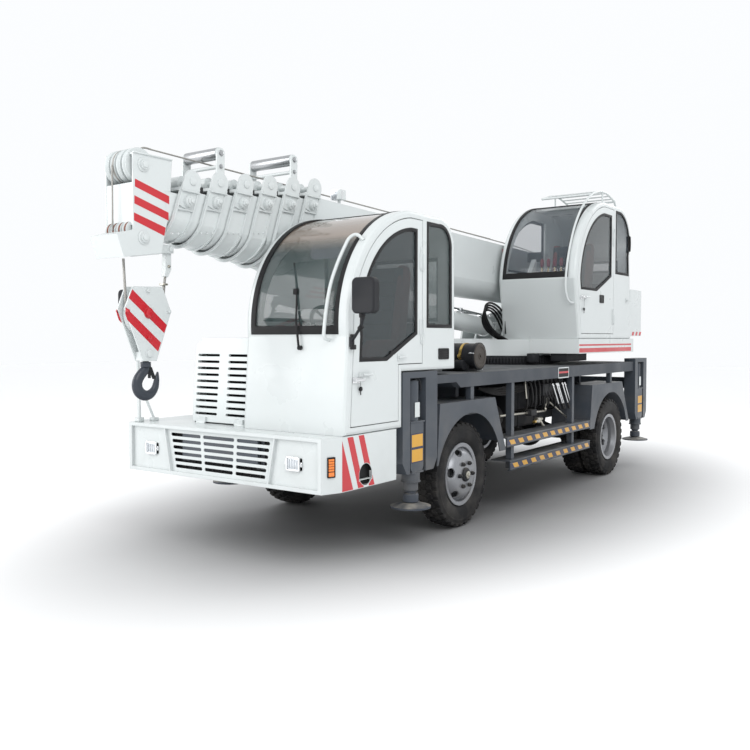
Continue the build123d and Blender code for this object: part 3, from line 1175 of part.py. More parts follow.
def boom_base():
    tube = section_tube(1, mouth_y(1), TAIL_Y)
    tail = across(shape((-260, BASE_BOTTOM - 1), (TAIL_Y + 1, BASE_BOTTOM - 1), (TAIL_Y + 1, -130)), -400, 400)
    tube = tube - tail
    # pivot tube and eye of the lift cylinder
    tube += rod((-MAST_INNER + RUN / 2, 0, 0), (MAST_INNER - RUN / 2, 0, 0), 78)
    tube -= rod((-MAST_INNER - 10, 0, 0), (MAST_INNER + 10, 0, 0), LUFF_PIN_R + CLEAR)
    eye_y, eye_z = boom_eye()
    for side in (-1, 1):
        lug = shape((eye_y - 200, BASE_BOTTOM + 60), (eye_y + 200, BASE_BOTTOM + 60), (eye_y + 50, eye_z), (eye_y - 50, eye_z))
        lug += Pos(eye_y, eye_z) * Circle(56)
        lug_in, lug_out = side * (EYE_HALF + RUN), side * (EYE_HALF + RUN + 26)
        body = across(lug, min(lug_in, lug_out), max(lug_in, lug_out))
        tube += body - along(section_face(1, -SECTION_WALL / 2), eye_y - 300, eye_y + 300)
    part = tube + collar(1)
    lamp_y = COLLAR_Y - LUFF_Y + 430
    part += block(170, 190, lamp_y - 10, lamp_y + 10, BASE_TOP - 2, BASE_TOP + 50) + block(125, 235, lamp_y - 45, lamp_y + 25, BASE_TOP + 45, BASE_TOP + 130)
    return place_boom(part)


EYE_HALF = 66.0


def boom_eye():
    """The rod eye's place in the level boom frame."""
    dy, dz = CYL_EYE[0] - LUFF_Y, CYL_EYE[1] - LUFF_Z
    t = math.radians(BOOM_TILT)
    return dy * math.cos(t) - dz * math.sin(t), dy * math.sin(t) + dz * math.cos(t)


def inner_section(k):
    rear = BORE_TAIL_Y - TAIL_STEP * (k - 2)
    part = section_tube(k, mouth_y(k), rear) + collar(k)
    if k in (2, 5):
        part += roller_bracket(k)
    return place_boom(part)


# Boom head, in the vehicle frame: outline points (y, z) of its side plates, clockwise from the upper front.
HEAD_HALF = 150.0
HEAD_PLATE_T = 12.0
HEAD_OUTLINE = [(-722, 2948), (-372, 2952), (-398, 2579), (-438, 2433), (-474, 2275), (-803, 2225), (HEAD_FRONT_Y, 2377), (-723, 2419)]
HEAD_PINS = [(-633, 2876), (-635, 2371)]
HEAD_SHEAVE_R = 122.0
FALL_SHEAVE_R = 62.0
DEAD_END = (-300.0, 2326.0)
DEAD_PIN_R = 13.0
SECTION7_MOUTH = -440.0 - LUFF_Y


def sheave(x, y, z, radius, width):
    face = shape((-width / 2, 0), (-width / 2, radius), (-width / 2 + 4, radius), (0, radius - 14), (width / 2 - 4, radius),
                 (width / 2, radius), (width / 2, 0))
    return Pos(x, y, z) * revolve(Plane.XZ * face, Axis.X)


def boom_head():
    head = None
    for side in (-1, 1):
        inner = BOOM_X + side * (HEAD_HALF - HEAD_PLATE_T)
        outer = BOOM_X + side * HEAD_HALF
        plate = across(shape(*HEAD_OUTLINE), min(inner, outer), max(inner, outer))
        for y, z in HEAD_PINS:
            plate += rod((inner, y, z), (outer + side * 22, y, z), 34)
        head = plate if head is None else head + plate
    x0, x1 = BOOM_X - HEAD_HALF + 1, BOOM_X + HEAD_HALF - 1
    nose = shape((HEAD_FRONT_Y, 2377), (-723, 2419), (-700, 2400), (-680, 2243), (-803, 2225))
    head += across(nose, x0, x1)
    head += block(x0, x1, -720, -708, 2452, 2745)
    head += across(shape((-722, 2948), (-372, 2952), (-372, 2940), (-722, 2936)), x0, x1)
    for (y, z), radius in zip(HEAD_PINS, (HEAD_SHEAVE_R, FALL_SHEAVE_R)):
        head += rod((x0, y, z), (x1, y, z), 26)
        for k in range(4):
            head += sheave(BOOM_X + (k - 1.5) * 62, y - (0 if radius == HEAD_SHEAVE_R else 60), z + (0 if radius == HEAD_SHEAVE_R else 50), radius, 40)
    # rope's dead end bracket behind the plates
    y, z = DEAD_END
    for side in (-1, 1):
        lug = shape((-500, z + 30), (y - 4, z + 30), (y + 26, z), (y, z - 26), (-500, z - 60))
        a, b = BOOM_X + side * 28, BOOM_X + side * 42
        head += across(lug, min(a, b), max(a, b))
    head += rod((BOOM_X - 50, y, z), (BOOM_X + 50, y, z), DEAD_PIN_R)
    head += block(x0, x1, -520, -496, z - 60, z + 60)
    socket = place_boom(along(section_face(SECTION_COUNT, CLEAR), SECTION7_MOUTH - CLEAR, SECTION7_MOUTH + 200))
    return head - socket


save("boom_base", boom_base())
for k in range(2, SECTION_COUNT):
    save(f"boom_section_{k}", inner_section(k))
last = section_tube(SECTION_COUNT, SECTION7_MOUTH, BORE_TAIL_Y - TAIL_STEP * (SECTION_COUNT - 2))
save(f"boom_section_{SECTION_COUNT}", place_boom(last))
save("boom_head", boom_head())


# ---------------------------------------------------------------- lift cylinder
CYL_RETRACTED_GAP = 180.0  # rod eye to gland when closed


def cyl_point(share):
    """Point on the cylinder's axis; 0 at the foot pin and 1 at the rod eye."""
    return (BOOM_X, CYL_FOOT[0] + (CYL_EYE[0] - CYL_FOOT[0]) * share, CYL_FOOT[1] + (CYL_EYE[1] - CYL_FOOT[1]) * share)


CYL_LEN = math.dist(CYL_FOOT, CYL_EYE)


def cylinder_barrel():
    gland = 1 - CYL_RETRACTED_GAP / CYL_LEN
    barrel = rod(cyl_point(70 / CYL_LEN), cyl_point(gland), CYL_R) + rod(cyl_point(gland - 90 / CYL_LEN), cyl_point(gland), CYL_R + 14)
    barrel -= rod(cyl_point(150 / CYL_LEN), cyl_point(gland + 0.01), CYL_ROD_R + 1)
    y, z = CYL_FOOT
    foot = rod((BOOM_X - CYL_R, y, z), (BOOM_X + CYL_R, y, z), 66) + rod(cyl_point(0), cyl_point(90 / CYL_LEN), 60)
    return barrel + foot - rod((BOOM_X - CYL_R - 5, y, z), (BOOM_X + CYL_R + 5, y, z), 30 + CLEAR)


def cylinder_rod():
    y, z = CYL_EYE
    ram = rod(cyl_point(160 / CYL_LEN), cyl_point(1 - 40 / CYL_LEN), CYL_ROD_R)
    eye = rod((BOOM_X - EYE_HALF, y, z), (BOOM_X + EYE_HALF, y, z), 54)
    return ram + eye


save("cylinder_barrel", cylinder_barrel())
save("cylinder_rod", cylinder_rod())


# ---------------------------------------------------------------- hook block and hook
BLOCK_HALF = 46.0
BLOCK_PLATE_T = 12.0
BLOCK_OUTLINE = [(-649, 2036), (-381, 2046), (-300, 1865), (-439, 1506), (-562, 1506), (-717, 1880)]
BLOCK_SHEAVE = (-508.0, 1850.0)
BLOCK_SHEAVE_R = 170.0
ROPE_R = 8.0
FALL_TOP_Z = 2230.0
HOOK_Y = -502.0
HOOK_TOP_Z = 1500.0
HOOK_BOWL = (HOOK_Y, 1340.0)


def hook_block():
    y, z = BLOCK_SHEAVE
    part = sheave(BOOM_X, y, z, BLOCK_SHEAVE_R, 52) + rod((BOOM_X - BLOCK_HALF - 14, y, z), (BOOM_X + BLOCK_HALF + 14, y, z), 26)
    for side in (-1, 1):
        inner, outer = BOOM_X + side * (BLOCK_HALF - BLOCK_PLATE_T), BOOM_X + side * BLOCK_HALF
        part += across(shape(*BLOCK_OUTLINE), min(inner, outer), max(inner, outer))
    part += block(BOOM_X - BLOCK_HALF, BOOM_X + BLOCK_HALF, HOOK_Y - 62, HOOK_Y + 62, HOOK_TOP_Z + 8, HOOK_TOP_Z + 74)
    part -= rod((BOOM_X, HOOK_Y, HOOK_TOP_Z), (BOOM_X, HOOK_Y, HOOK_TOP_Z + 60), 24 + CLEAR)
    # wedge socket on the head's dead-end pin, and the two falls of rope round the sheave
    end_y, end_z = DEAD_END
    rear, front = y + BLOCK_SHEAVE_R - ROPE_R, y - BLOCK_SHEAVE_R + ROPE_R
    part += across(Pos(end_y, end_z) * Circle(26) + shape((end_y - 18, end_z + 8), (end_y + 26, end_z), (end_y + 26, end_z - 150),
                                                         (end_y - 6, end_z - 206), (end_y - 30, end_z - 200)), BOOM_X - 22, BOOM_X + 22)
    part += rod((BOOM_X, rear, z), (BOOM_X, end_y - 14, end_z - 190), ROPE_R)
    part += rod((BOOM_X, front, z), (BOOM_X, front - 22, FALL_TOP_Z), ROPE_R)
    return part - rod((BOOM_X - 30, end_y, end_z), (BOOM_X + 30, end_y, end_z), DEAD_PIN_R + CLEAR)


def hook():
    """Single-point lifting hook: shank, C-shaped bowl opening to the rear, and a spring latch."""
    y, z = HOOK_BOWL
    bowl = Pos(y, z) * Circle(112)
    bowl -= Pos(y + 14, z + 12) * Circle(56)
    mouth = shape((y + 10, z + 22), (y + 66, z + 40), (y + 120, z + 150), (y - 10, z + 150))
    bowl = bowl - mouth
    tip = Pos(y + 92, z + 44) * Circle(22)
    neck = shape((y - 26, z + 150), (y + 26, z + 150), (y + 22, z + 70), (y - 40, z + 60))
    body = across(bowl + tip + neck, BOOM_X - 26, BOOM_X + 26)
    latch = across(shape((y + 22, z + 118), (y + 34, z + 112), (y + 92, z + 44), (y + 80, z + 36)), BOOM_X - 14, BOOM_X + 14)
    shank = rod((BOOM_X, y, z + 130), (BOOM_X, y, HOOK_TOP_Z + 52), 24) + rod((BOOM_X, y, z + 120), (BOOM_X, y, HOOK_TOP_Z + 2), 40)
    return body + latch + shank


save("hook_block", hook_block())
save("hook", hook())
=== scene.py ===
import json
import math

import bpy
from mathutils import Matrix, Vector

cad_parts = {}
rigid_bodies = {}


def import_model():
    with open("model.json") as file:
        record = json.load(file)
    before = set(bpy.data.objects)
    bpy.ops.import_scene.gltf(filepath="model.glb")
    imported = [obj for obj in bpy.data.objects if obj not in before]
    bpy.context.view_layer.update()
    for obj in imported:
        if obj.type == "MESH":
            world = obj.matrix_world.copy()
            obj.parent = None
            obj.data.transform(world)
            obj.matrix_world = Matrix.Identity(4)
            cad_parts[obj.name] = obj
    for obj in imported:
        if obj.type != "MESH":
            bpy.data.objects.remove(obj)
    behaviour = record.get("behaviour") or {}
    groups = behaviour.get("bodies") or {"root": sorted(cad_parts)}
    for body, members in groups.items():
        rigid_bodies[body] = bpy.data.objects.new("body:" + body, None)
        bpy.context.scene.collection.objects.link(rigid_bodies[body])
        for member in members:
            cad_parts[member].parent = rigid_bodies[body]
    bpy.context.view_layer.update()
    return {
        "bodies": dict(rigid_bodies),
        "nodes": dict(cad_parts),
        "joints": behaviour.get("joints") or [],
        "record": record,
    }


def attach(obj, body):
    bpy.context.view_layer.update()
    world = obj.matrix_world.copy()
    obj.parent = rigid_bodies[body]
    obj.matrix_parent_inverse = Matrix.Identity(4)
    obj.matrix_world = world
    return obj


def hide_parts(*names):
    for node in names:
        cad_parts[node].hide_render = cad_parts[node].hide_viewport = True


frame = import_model()
nodes = frame["nodes"]


# ---------------------------------------------------------------------------
# Camera, floor and light
# An eye-level lens off the left front corner, on a pale studio floor that runs into a pale surround, with
# one large soft key over the left front, a fill from the right front and a weak rim from behind.
FRONT = -3.090                       # the bumper's front face along Y
eye = Vector((4.622, FRONT - 4.511, 1.671))
yaw, pitch = math.radians(36.057), math.radians(-2.053)

bpy.ops.object.camera_add(location=eye, rotation=(math.pi / 2 + pitch, 0, yaw))
camera = bpy.context.object
camera.name = "camera"
camera.data.sensor_width = 36
camera.data.lens = 40.34
camera.data.shift_x = 0.02225
camera.data.shift_y = -0.00895
bpy.context.scene.camera = camera

# the floor is pale all round; under the crane it darkens to bare concrete with a painted shadow over it,
# which fades out softly towards the pale floor
floor_paint = bpy.data.materials.new("studio_floor")
floor_paint.use_nodes = True
make, link = floor_paint.node_tree.nodes.new, floor_paint.node_tree.links.new
floor_surface = floor_paint.node_tree.nodes["Principled BSDF"]
floor_surface.inputs["Roughness"].default_value = 0.7
nearness = make("ShaderNodeMapping")
nearness.vector_type = "TEXTURE"
nearness.inputs["Location"].default_value = (0.0, 0.4, 0)
nearness.inputs["Scale"].default_value = (3.3, 6.8, 1)
link(make("ShaderNodeTexCoord").outputs["Object"], nearness.inputs["Vector"])
reach = make("ShaderNodeVectorMath")
reach.operation = "LENGTH"
link(nearness.outputs[0], reach.inputs[0])
# how far out the painted shadow under the crane reaches before it fades into the pale floor
painted_shadow_falloff = make("ShaderNodeMapRange")
painted_shadow_falloff.interpolation_type = "SMOOTHSTEP"
painted_shadow_falloff.inputs["From Min"].default_value = 0.22
painted_shadow_falloff.inputs["From Max"].default_value = 1.08
link(reach.outputs["Value"], painted_shadow_falloff.inputs["Value"])
mottle = make("ShaderNodeTexNoise")
mottle.inputs["Scale"].default_value = 0.9
mottle.inputs["Detail"].default_value = 8
link(make("ShaderNodeTexCoord").outputs["Object"], mottle.inputs["Vector"])
# mottled dark grey: concrete darkened further as a painted shadow under the crane
concrete_in_painted_shadow = make("ShaderNodeMix")
concrete_in_painted_shadow.data_type = "RGBA"
concrete_in_painted_shadow.inputs[6].default_value = (0.12, 0.12, 0.125, 1)
concrete_in_painted_shadow.inputs[7].default_value = (0.21, 0.21, 0.21, 1)
link(mottle.outputs["Fac"], concrete_in_painted_shadow.inputs[0])
ground = make("ShaderNodeMix")
ground.data_type = "RGBA"
ground.inputs[7].default_value = (1.0, 1.0, 1.0, 1)
link(painted_shadow_falloff.outputs["Result"], ground.inputs[0])
link(concrete_in_painted_shadow.outputs[2], ground.inputs[6])
link(ground.outputs[2], floor_surface.inputs["Base Color"])
bpy.ops.mesh.primitive_plane_add(size=90, location=(0, 0, 0))
studio_floor = bpy.context.object
studio_floor.name = "studio_floor"
studio_floor.data.materials.append(floor_paint)

world = bpy.data.worlds.new("surround")
bpy.context.scene.world = world
world.use_nodes = True
world.node_tree.nodes["Background"].inputs["Color"].default_value = (0.97, 0.985, 1.0, 1)
world.node_tree.nodes["Background"].inputs["Strength"].default_value = 1.0
bpy.context.scene.view_settings.view_transform = "Standard"

#          name    place              aimed at          size  watts
lamps = [("key", (7.5, -7.0, 8.5), (0, 0, 1.2), 6.0, 420),
         ("fill", (-6.0, -10.0, 5.0), (0, -2.0, 1.5), 7.0, 520),
         ("rim", (3.0, 10.0, 7.0), (0, 1.0, 2.0), 5.0, 160)]
for name, place, target, size, watts in lamps:
    bpy.ops.object.light_add(type="AREA", location=place)
    light = bpy.context.object
    light.name = name
    light.data.size = size
    light.data.energy = watts
    light.rotation_euler = (Vector(target) - Vector(place)).to_track_quat("-Z", "Y").to_euler()
bpy.ops.object.select_all(action="DESELECT")


# ---------------------------------------------------------------------------
# Enamelled steel
# Cabs, hood, bumper, turret, boom and counterweight in cool white, the carrier in slate grey: folded and
# welded plate, sprayed and polished, with a little orange peel, dust on what faces up, road grime near the
# ground, and edges that catch the light where the plate is bent.
COOL_WHITE = (0.60, 0.635, 0.635)
DUST = (0.36, 0.335, 0.29)
GRIME = (0.23, 0.21, 0.185)


def finish(name, colour, roughness, dust=0.1, grime=0.1, bend=0.0, tone=0.05, worn=(0.5, 0.5, 0.5), wear=0.0,
           coat=0.0, metal=0.0, grain=220.0, relief=0.06):
    """Surface of one make: its shares of dust and grime, its tone, coat and grain, and its worn bends."""
    material = bpy.data.materials.new(name)
    material.use_nodes = True
    make = material.node_tree.nodes.new
    link = material.node_tree.links.new
    surface = material.node_tree.nodes["Principled BSDF"]
    where = make("ShaderNodeTexCoord").outputs["Object"]
    facing = make("ShaderNodeNewGeometry").outputs["Normal"]

    def speckle(scale, detail, low, high):
        noise = make("ShaderNodeTexNoise")
        noise.inputs["Scale"].default_value = scale
        noise.inputs["Detail"].default_value = detail
        link(where, noise.inputs["Vector"])
        return span(noise.outputs["Fac"], low, high)

    def span(value, low, high, start=0.0, end=1.0):
        node = make("ShaderNodeMapRange")
        node.inputs["From Min"].default_value = low
        node.inputs["From Max"].default_value = high
        node.inputs["To Min"].default_value = start
        node.inputs["To Max"].default_value = end
        link(value, node.inputs["Value"])
        return node.outputs["Result"]

    def times(a, b):
        product = make("ShaderNodeMath")
        product.operation = "MULTIPLY"
        product.use_clamp = True
        link(a, product.inputs[0])
        if isinstance(b, float):
            product.inputs[1].default_value = b
        else:
            link(b, product.inputs[1])
        return product.outputs[0]

    def over(share, under, top):
        mix = make("ShaderNodeMix")
        mix.data_type = "RGBA"
        link(share, mix.inputs[0])
        for socket, value in ((mix.inputs[6], under), (mix.inputs[7], top)):
            if isinstance(value, tuple):
                socket.default_value = (*value, 1)
            else:
                link(value, socket)
        return mix.outputs[2]

    def height_of(vector):
        node = make("ShaderNodeSeparateXYZ")
        link(vector, node.inputs[0])
        return node.outputs["Z"]

    shade = over(times(speckle(1.3, 5, 0.35, 0.7), tone * 6), colour, tuple(c * 0.82 for c in colour))
    if grime:
        low = span(height_of(where), 1.25, 0.3)
        shade = over(times(times(low, speckle(5, 8, 0.42, 0.68)), grime), shade, GRIME)
    if dust:
        level = span(height_of(facing), 0.6, 0.95)
        shade = over(times(times(level, speckle(9, 9, 0.3, 0.75)), dust), shade, DUST)
    if bend:
        bent_edge = make("ShaderNodeBevel")
        bent_edge.samples = 4
        bent_edge.inputs["Radius"].default_value = bend
    if bend and wear:
        across = make("ShaderNodeVectorMath")
        across.operation = "DOT_PRODUCT"
        link(bent_edge.outputs["Normal"], across.inputs[0])
        link(facing, across.inputs[1])
        edge = span(across.outputs["Value"], 0.985, 0.9)
        shade = over(times(times(edge, speckle(28, 6, 0.44, 0.6)), wear), shade, worn)
    link(shade, surface.inputs["Base Color"])
    link(span(speckle(3, 6, 0.3, 0.8), 0, 1, roughness * 0.85, min(1.0, roughness * 1.4 + 0.1)),
         surface.inputs["Roughness"])
    peel = make("ShaderNodeBump")
    peel.inputs["Strength"].default_value = relief
    peel.inputs["Distance"].default_value = 0.001
    link(speckle(grain, 2, 0.3, 0.7), peel.inputs["Height"])
    if bend:
        link(bent_edge.outputs["Normal"], peel.inputs["Normal"])
    link(peel.outputs["Normal"], surface.inputs["Normal"])
    surface.inputs["Metallic"].default_value = metal
    surface.inputs["Coat Weight"].default_value = coat
    surface.inputs["Coat Roughness"].default_value = 0.12
    surface.inputs["Specular IOR Level"].default_value = 0.5 if metal or max(colour) > 0.3 else 0.25
    return material


def dress(material, *names):
    """Give the named parts of the construction this finish."""
    for name in names:
        nodes[name].data.materials.clear()
        nodes[name].data.materials.append(material)


white = finish("white_enamel", COOL_WHITE, 0.28, dust=0.10, grime=0.12, bend=0.006, tone=0.02, coat=0.25)
boom_white = finish("boom_enamel", COOL_WHITE, 0.32, dust=0.08, grime=0.0, bend=0.004, tone=0.02, coat=0.2)
slate = finish("slate_enamel", (0.058, 0.068, 0.083), 0.42, dust=0.3, grime=0.35, bend=0.004, tone=0.10,
               wear=0.35, worn=(0.2, 0.2, 0.2), coat=0.2)
deck_grey = finish("deck_enamel", (0.065, 0.073, 0.085), 0.5, dust=0.3, grime=0.3, tone=0.1)
iron = finish("black_iron", (0.016, 0.017, 0.020), 0.55, dust=0.25, grime=0.25, bend=0.003, tone=0.1,
              wear=0.3, worn=(0.12, 0.11, 0.1))

dress(white, "driver_cab_shell", "driver_door", "operator_cab_shell", "operator_door", "hood_housing",
      "hood_lid", "bumper", "counterweight", "turret_frame", "hook_block", "cylinder_barrel")
dress(boom_white, "boom_base", "boom_head", *[f"boom_section_{k}" for k in range(2, 8)])
dress(slate, "chassis_frame", "fenders", "side_steps", *[n for n in nodes if n.startswith("outrigger_beam")])
dress(deck_grey, "deck")
dress(iron, "front_axle", "rear_axle", "knuckle_left", "knuckle_right", "power_train", "valve_bank",
      "slew_ring", "tanks", "air_cleaner", "winch_drum", "mirrors")


# ---------------------------------------------------------------------------
# Glass in the cabs
# Bent safety glass, lightly smoked and held in rubber; the upper part of the driver's windscreen is toned
# brown against the sun.
SUN_BROWN = (0.24, 0.195, 0.16)


def pane_glass(name, tint, opacity, shaded_above=None):
    """Smoked glass; from the first height of shaded_above to the second it passes into the brown band."""
    material = bpy.data.materials.new(name)
    material.use_nodes = True
    surface = material.node_tree.nodes["Principled BSDF"]
    surface.inputs["Base Color"].default_value = (*tint, 1)
    surface.inputs["Roughness"].default_value = 0.04
    surface.inputs["Alpha"].default_value = opacity
    surface.inputs["Coat Weight"].default_value = 0.6
    surface.inputs["Coat Roughness"].default_value = 0.03
    if not shaded_above:
        return material
    make, link = material.node_tree.nodes.new, material.node_tree.links.new

    def ramp(value, low, high, start, end):
        node = make("ShaderNodeMapRange")
        for socket, number in (("From Min", low), ("From Max", high), ("To Min", start), ("To Max", end)):
            node.inputs[socket].default_value = number
        link(value, node.inputs["Value"])
        return node.outputs["Result"]

    place = make("ShaderNodeSeparateXYZ")
    link(make("ShaderNodeTexCoord").outputs["Object"], place.inputs[0])
    sideways = make("ShaderNodeMath")
    sideways.operation = "ABSOLUTE"
    link(place.outputs["X"], sideways.inputs[0])
    share = make("ShaderNodeMath")
    share.operation = "MULTIPLY"
    link(ramp(place.outputs["Z"], *shaded_above, 0, 1), share.inputs[0])
    link(ramp(sideways.outputs[0], 0.98, 1.02, 1, 0), share.inputs[1])
    link(ramp(share.outputs[0], 0, 1, opacity, 0.93), surface.inputs["Alpha"])
    tone = make("ShaderNodeMix")
    tone.data_type = "RGBA"
    tone.inputs[6].default_value = (*tint, 1)
    tone.inputs[7].default_value = (*SUN_BROWN, 1)
    link(share.outputs[0], tone.inputs[0])
    link(tone.outputs[2], surface.inputs["Base Color"])
    return material


dress(pane_glass("door_glass", (0.030, 0.045, 0.050), 0.50), "driver_door_glass", "operator_door_glass")
dress(pane_glass("driver_screen_glass", (0.07, 0.10, 0.10), 0.36, (2.33, 2.45)), "driver_cab_glass")
dress(pane_glass("operator_screen_glass", (0.14, 0.17, 0.20), 0.20), "operator_cab_glass")


# ---------------------------------------------------------------------------
# Bumper lamps
# Square headlamps in chromed frames held by side lugs, amber indicators on the cut corners and red tail
# lamps on the rear cross panel. Pressed and plated frames, moulded lenses, all screwed on.
def at(x, y, z):
    """Place measured from the centre plane, the bumper's front face and the ground."""
    return Vector((x, FRONT + y, z))


def softened(width, steps=2):
    """Round the sharp edges of the piece in hand."""
    bpy.ops.object.modifier_add(type="BEVEL")
    bevel = bpy.context.object.modifiers[-1]
    bevel.width = width
    bevel.segments = steps
    bevel.limit_method = "ANGLE"
    bevel.angle_limit = math.radians(40)
    bpy.ops.object.modifier_apply(modifier=bevel.name)
    return bpy.context.object


def slab(low, high, edge=0.002):
    """Block between two corners with softened edges."""
    low, high = at(*low), at(*high)
    bpy.ops.mesh.primitive_cube_add(size=1, location=(low + high) / 2, scale=high - low)
    bpy.ops.object.transform_apply(location=False, rotation=False, scale=True)
    return softened(edge) if edge else bpy.context.object


def bar(start, end, radius, sides=24, edge=0.0012):
    """Round bar between two places."""
    a, b = at(*start), at(*end)
    turn = (b - a).to_track_quat("Z", "Y").to_euler()
    bpy.ops.mesh.primitive_cylinder_add(vertices=sides, radius=radius, depth=(b - a).length,
                                        location=(a + b) / 2, rotation=turn)
    return softened(edge)


def panel(centre, width, height, corner, thick, facing, rim=0.0, edge=0.0):
    """Plate with rounded corners behind centre; with a rim only its border is left."""
    way = Vector(facing).normalized()
    bpy.ops.mesh.primitive_plane_add(size=1, location=at(*centre),
                                     rotation=way.to_track_quat("Z", "Y").to_euler())
    piece = bpy.context.object
    piece.scale = (width, height, 1)
    bpy.ops.object.transform_apply(location=False, rotation=False, scale=True)
    bpy.ops.object.mode_set(mode="EDIT")
    bpy.ops.mesh.select_all(action="SELECT")
    bpy.ops.mesh.bevel(offset=corner, segments=5, affect="VERTICES")
    if rim:
        bpy.ops.mesh.select_all(action="SELECT")
        bpy.ops.mesh.inset(thickness=rim)
        bpy.ops.mesh.delete(type="FACE")
    bpy.ops.mesh.select_all(action="SELECT")
    bpy.ops.mesh.extrude_region_move(TRANSFORM_OT_translate={"value": -way * thick})
    bpy.ops.object.mode_set(mode="OBJECT")
    return softened(edge) if edge else piece


def kept(parts, name, body, material, angle=35):
    """Join parts into one piece, settle its place in its mesh, and fix it to its body."""
    bpy.ops.object.select_all(action="DESELECT")
    for part in parts:
        part.select_set(True)
    bpy.context.view_layer.objects.active = parts[0]
    if len(parts) > 1:
        bpy.ops.object.join()
    piece = bpy.context.object
    bpy.ops.object.transform_apply(location=True, rotation=True, scale=True)
    bpy.ops.object.mode_set(mode="EDIT")
    bpy.ops.mesh.select_all(action="SELECT")
    bpy.ops.mesh.normals_make_consistent(inside=False)
    bpy.ops.object.mode_set(mode="OBJECT")
    piece.name = name
    piece.data.materials.clear()
    piece.data.materials.append(material)
    bpy.ops.object.shade_smooth_by_angle(angle=math.radians(angle))
    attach(piece, body)
    bpy.ops.object.select_all(action="DESELECT")
    return piece


chrome = finish("chrome_plate", (0.72, 0.73, 0.74), 0.10, dust=0.0, grime=0.15, tone=0.01, metal=1.0,
                grain=60, relief=0.02)
lens_clear = finish("lens_clear", (0.62, 0.65, 0.68), 0.08, dust=0.0, grime=0.0, tone=0.04, coat=0.8,
                    metal=0.55, grain=90, relief=0.5)
amber = finish("amber_lens", (0.80, 0.20, 0.012), 0.18, dust=0.0, grime=0.0, tone=0.03, coat=0.8, grain=70,
               relief=0.4)
lens_red = finish("red_lens", (0.45, 0.012, 0.01), 0.2, dust=0.0, grime=0.0, tone=0.03, coat=0.8, grain=70,
                  relief=0.4)
moulding = finish("black_moulding", (0.010, 0.010, 0.011), 0.4, dust=0.03, grime=0.0, tone=0.05, grain=300,
                  relief=0.12)
AHEAD = (0, -1, 0)
HEAD_LAMP_X, HEAD_LAMP_Z = 0.757, 0.778
TAIL_LAMP_X = 0.81
frames, bowls = [], []
for side in (-1, 1):
    x, z = side * HEAD_LAMP_X, HEAD_LAMP_Z
    frames.append(panel((x, 0.002, z), 0.128, 0.104, 0.014, 0.021, AHEAD, rim=0.013, edge=0.002))
    for lug in (x - 0.071, x + 0.071):
        frames.append(slab((lug - 0.009, 0.012, z - 0.017), (lug + 0.009, 0.0238, z + 0.017)))
        frames.append(bar((lug, 0.013, z), (lug, 0.005, z), 0.005, sides=12))
    bowls.append(panel((x, 0.009, z), 0.104, 0.080, 0.010, 0.014, AHEAD, edge=0.003))
    for flute in (x - 0.036, x - 0.012, x + 0.012, x + 0.036):
        bowls.append(bar((flute, 0.0075, z - 0.034), (flute, 0.0075, z + 0.034), 0.0035))
headlamp_frames = kept(frames, "headlamp_frames", "chassis", chrome)
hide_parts("lamps")
kept(bowls, "headlamp_lenses", "chassis", lens_clear)
kept([panel((side * HEAD_LAMP_X, 0.0225, HEAD_LAMP_Z), 0.15, 0.092, 0.012, 0.0, AHEAD, rim=0.02)
      for side in (-1, 1)], "headlamp_gaskets", "chassis", moulding)
holders, ambers = [], []
for side in (-1, 1):
    way = Vector((side * 0.945, -0.327, 0))
    foot = Vector((side * 1.048, 0.075, 0.772))
    holders.append(panel(foot + way * 0.006, 0.064, 0.144, 0.006, 0.006, way, edge=0.0015))
    holders.append(panel(foot + way * 0.009, 0.064, 0.144, 0.006, 0.004, way, rim=0.007, edge=0.001))
    lens = foot + way * 0.0088
    for row in range(5):
        ambers.append(panel(lens + Vector((0, 0, 0.052 - 0.018 * row)), 0.047, 0.0155, 0.002, 0.004, way,
                            edge=0.002))
    ambers.append(panel(lens + Vector((0, 0, -0.048)), 0.047, 0.030, 0.003, 0.004, way, edge=0.002))
kept(holders, "indicator_frames", "chassis", moulding)
kept(ambers, "indicator_lenses", "chassis", amber)
boxes, reds = [], []
for side in (-1, 1):
    x = side * TAIL_LAMP_X
    boxes.append(slab((x - 0.09, 7.0003, 1.01), (x + 0.09, 7.030, 1.11), 0.004))
    for lens in (x - 0.055, x, x + 0.055):
        reds.append(slab((lens - 0.024, 7.026, 1.022), (lens + 0.024, 7.0395, 1.098), 0.005))
kept(boxes, "tail_lamp_boxes", "chassis", moulding)
kept(reds, "tail_lamp_lenses", "chassis", lens_red)


# ---------------------------------------------------------------------------
# Red tape on the bumper's sides
# A wedge and two slanted bars of reflective sheeting stuck on each side panel, cut round the foot hole.
def plate(corners, lift):
    """Flat plate from its corners in order, as thick as lift reaches."""
    bpy.ops.mesh.primitive_circle_add(vertices=len(corners), fill_type="NGON")
    piece = bpy.context.object
    for vertex, corner in zip(piece.data.vertices, corners):
        vertex.co = at(*corner)
    bpy.ops.object.mode_set(mode="EDIT")
    bpy.ops.mesh.select_all(action="SELECT")
    bpy.ops.mesh.extrude_region_move(TRANSFORM_OT_translate={"value": lift})
    bpy.ops.object.mode_set(mode="OBJECT")
    return piece


def cut_with(piece, cutter):
    """Take the cutter out of the piece."""
    bpy.context.view_layer.objects.active = piece
    cut = piece.modifiers.new("cut", "BOOLEAN")
    cut.operation = "DIFFERENCE"
    cut.object = cutter
    bpy.ops.object.modifier_apply(modifier=cut.name)
    bpy.data.objects.remove(cutter)


def tape(name, colour):
    """Reflective sheeting with fine prisms in it."""
    return finish(name, colour, 0.32, dust=0.05, grime=0.06, tone=0.02, coat=0.3, grain=420, relief=0.1)


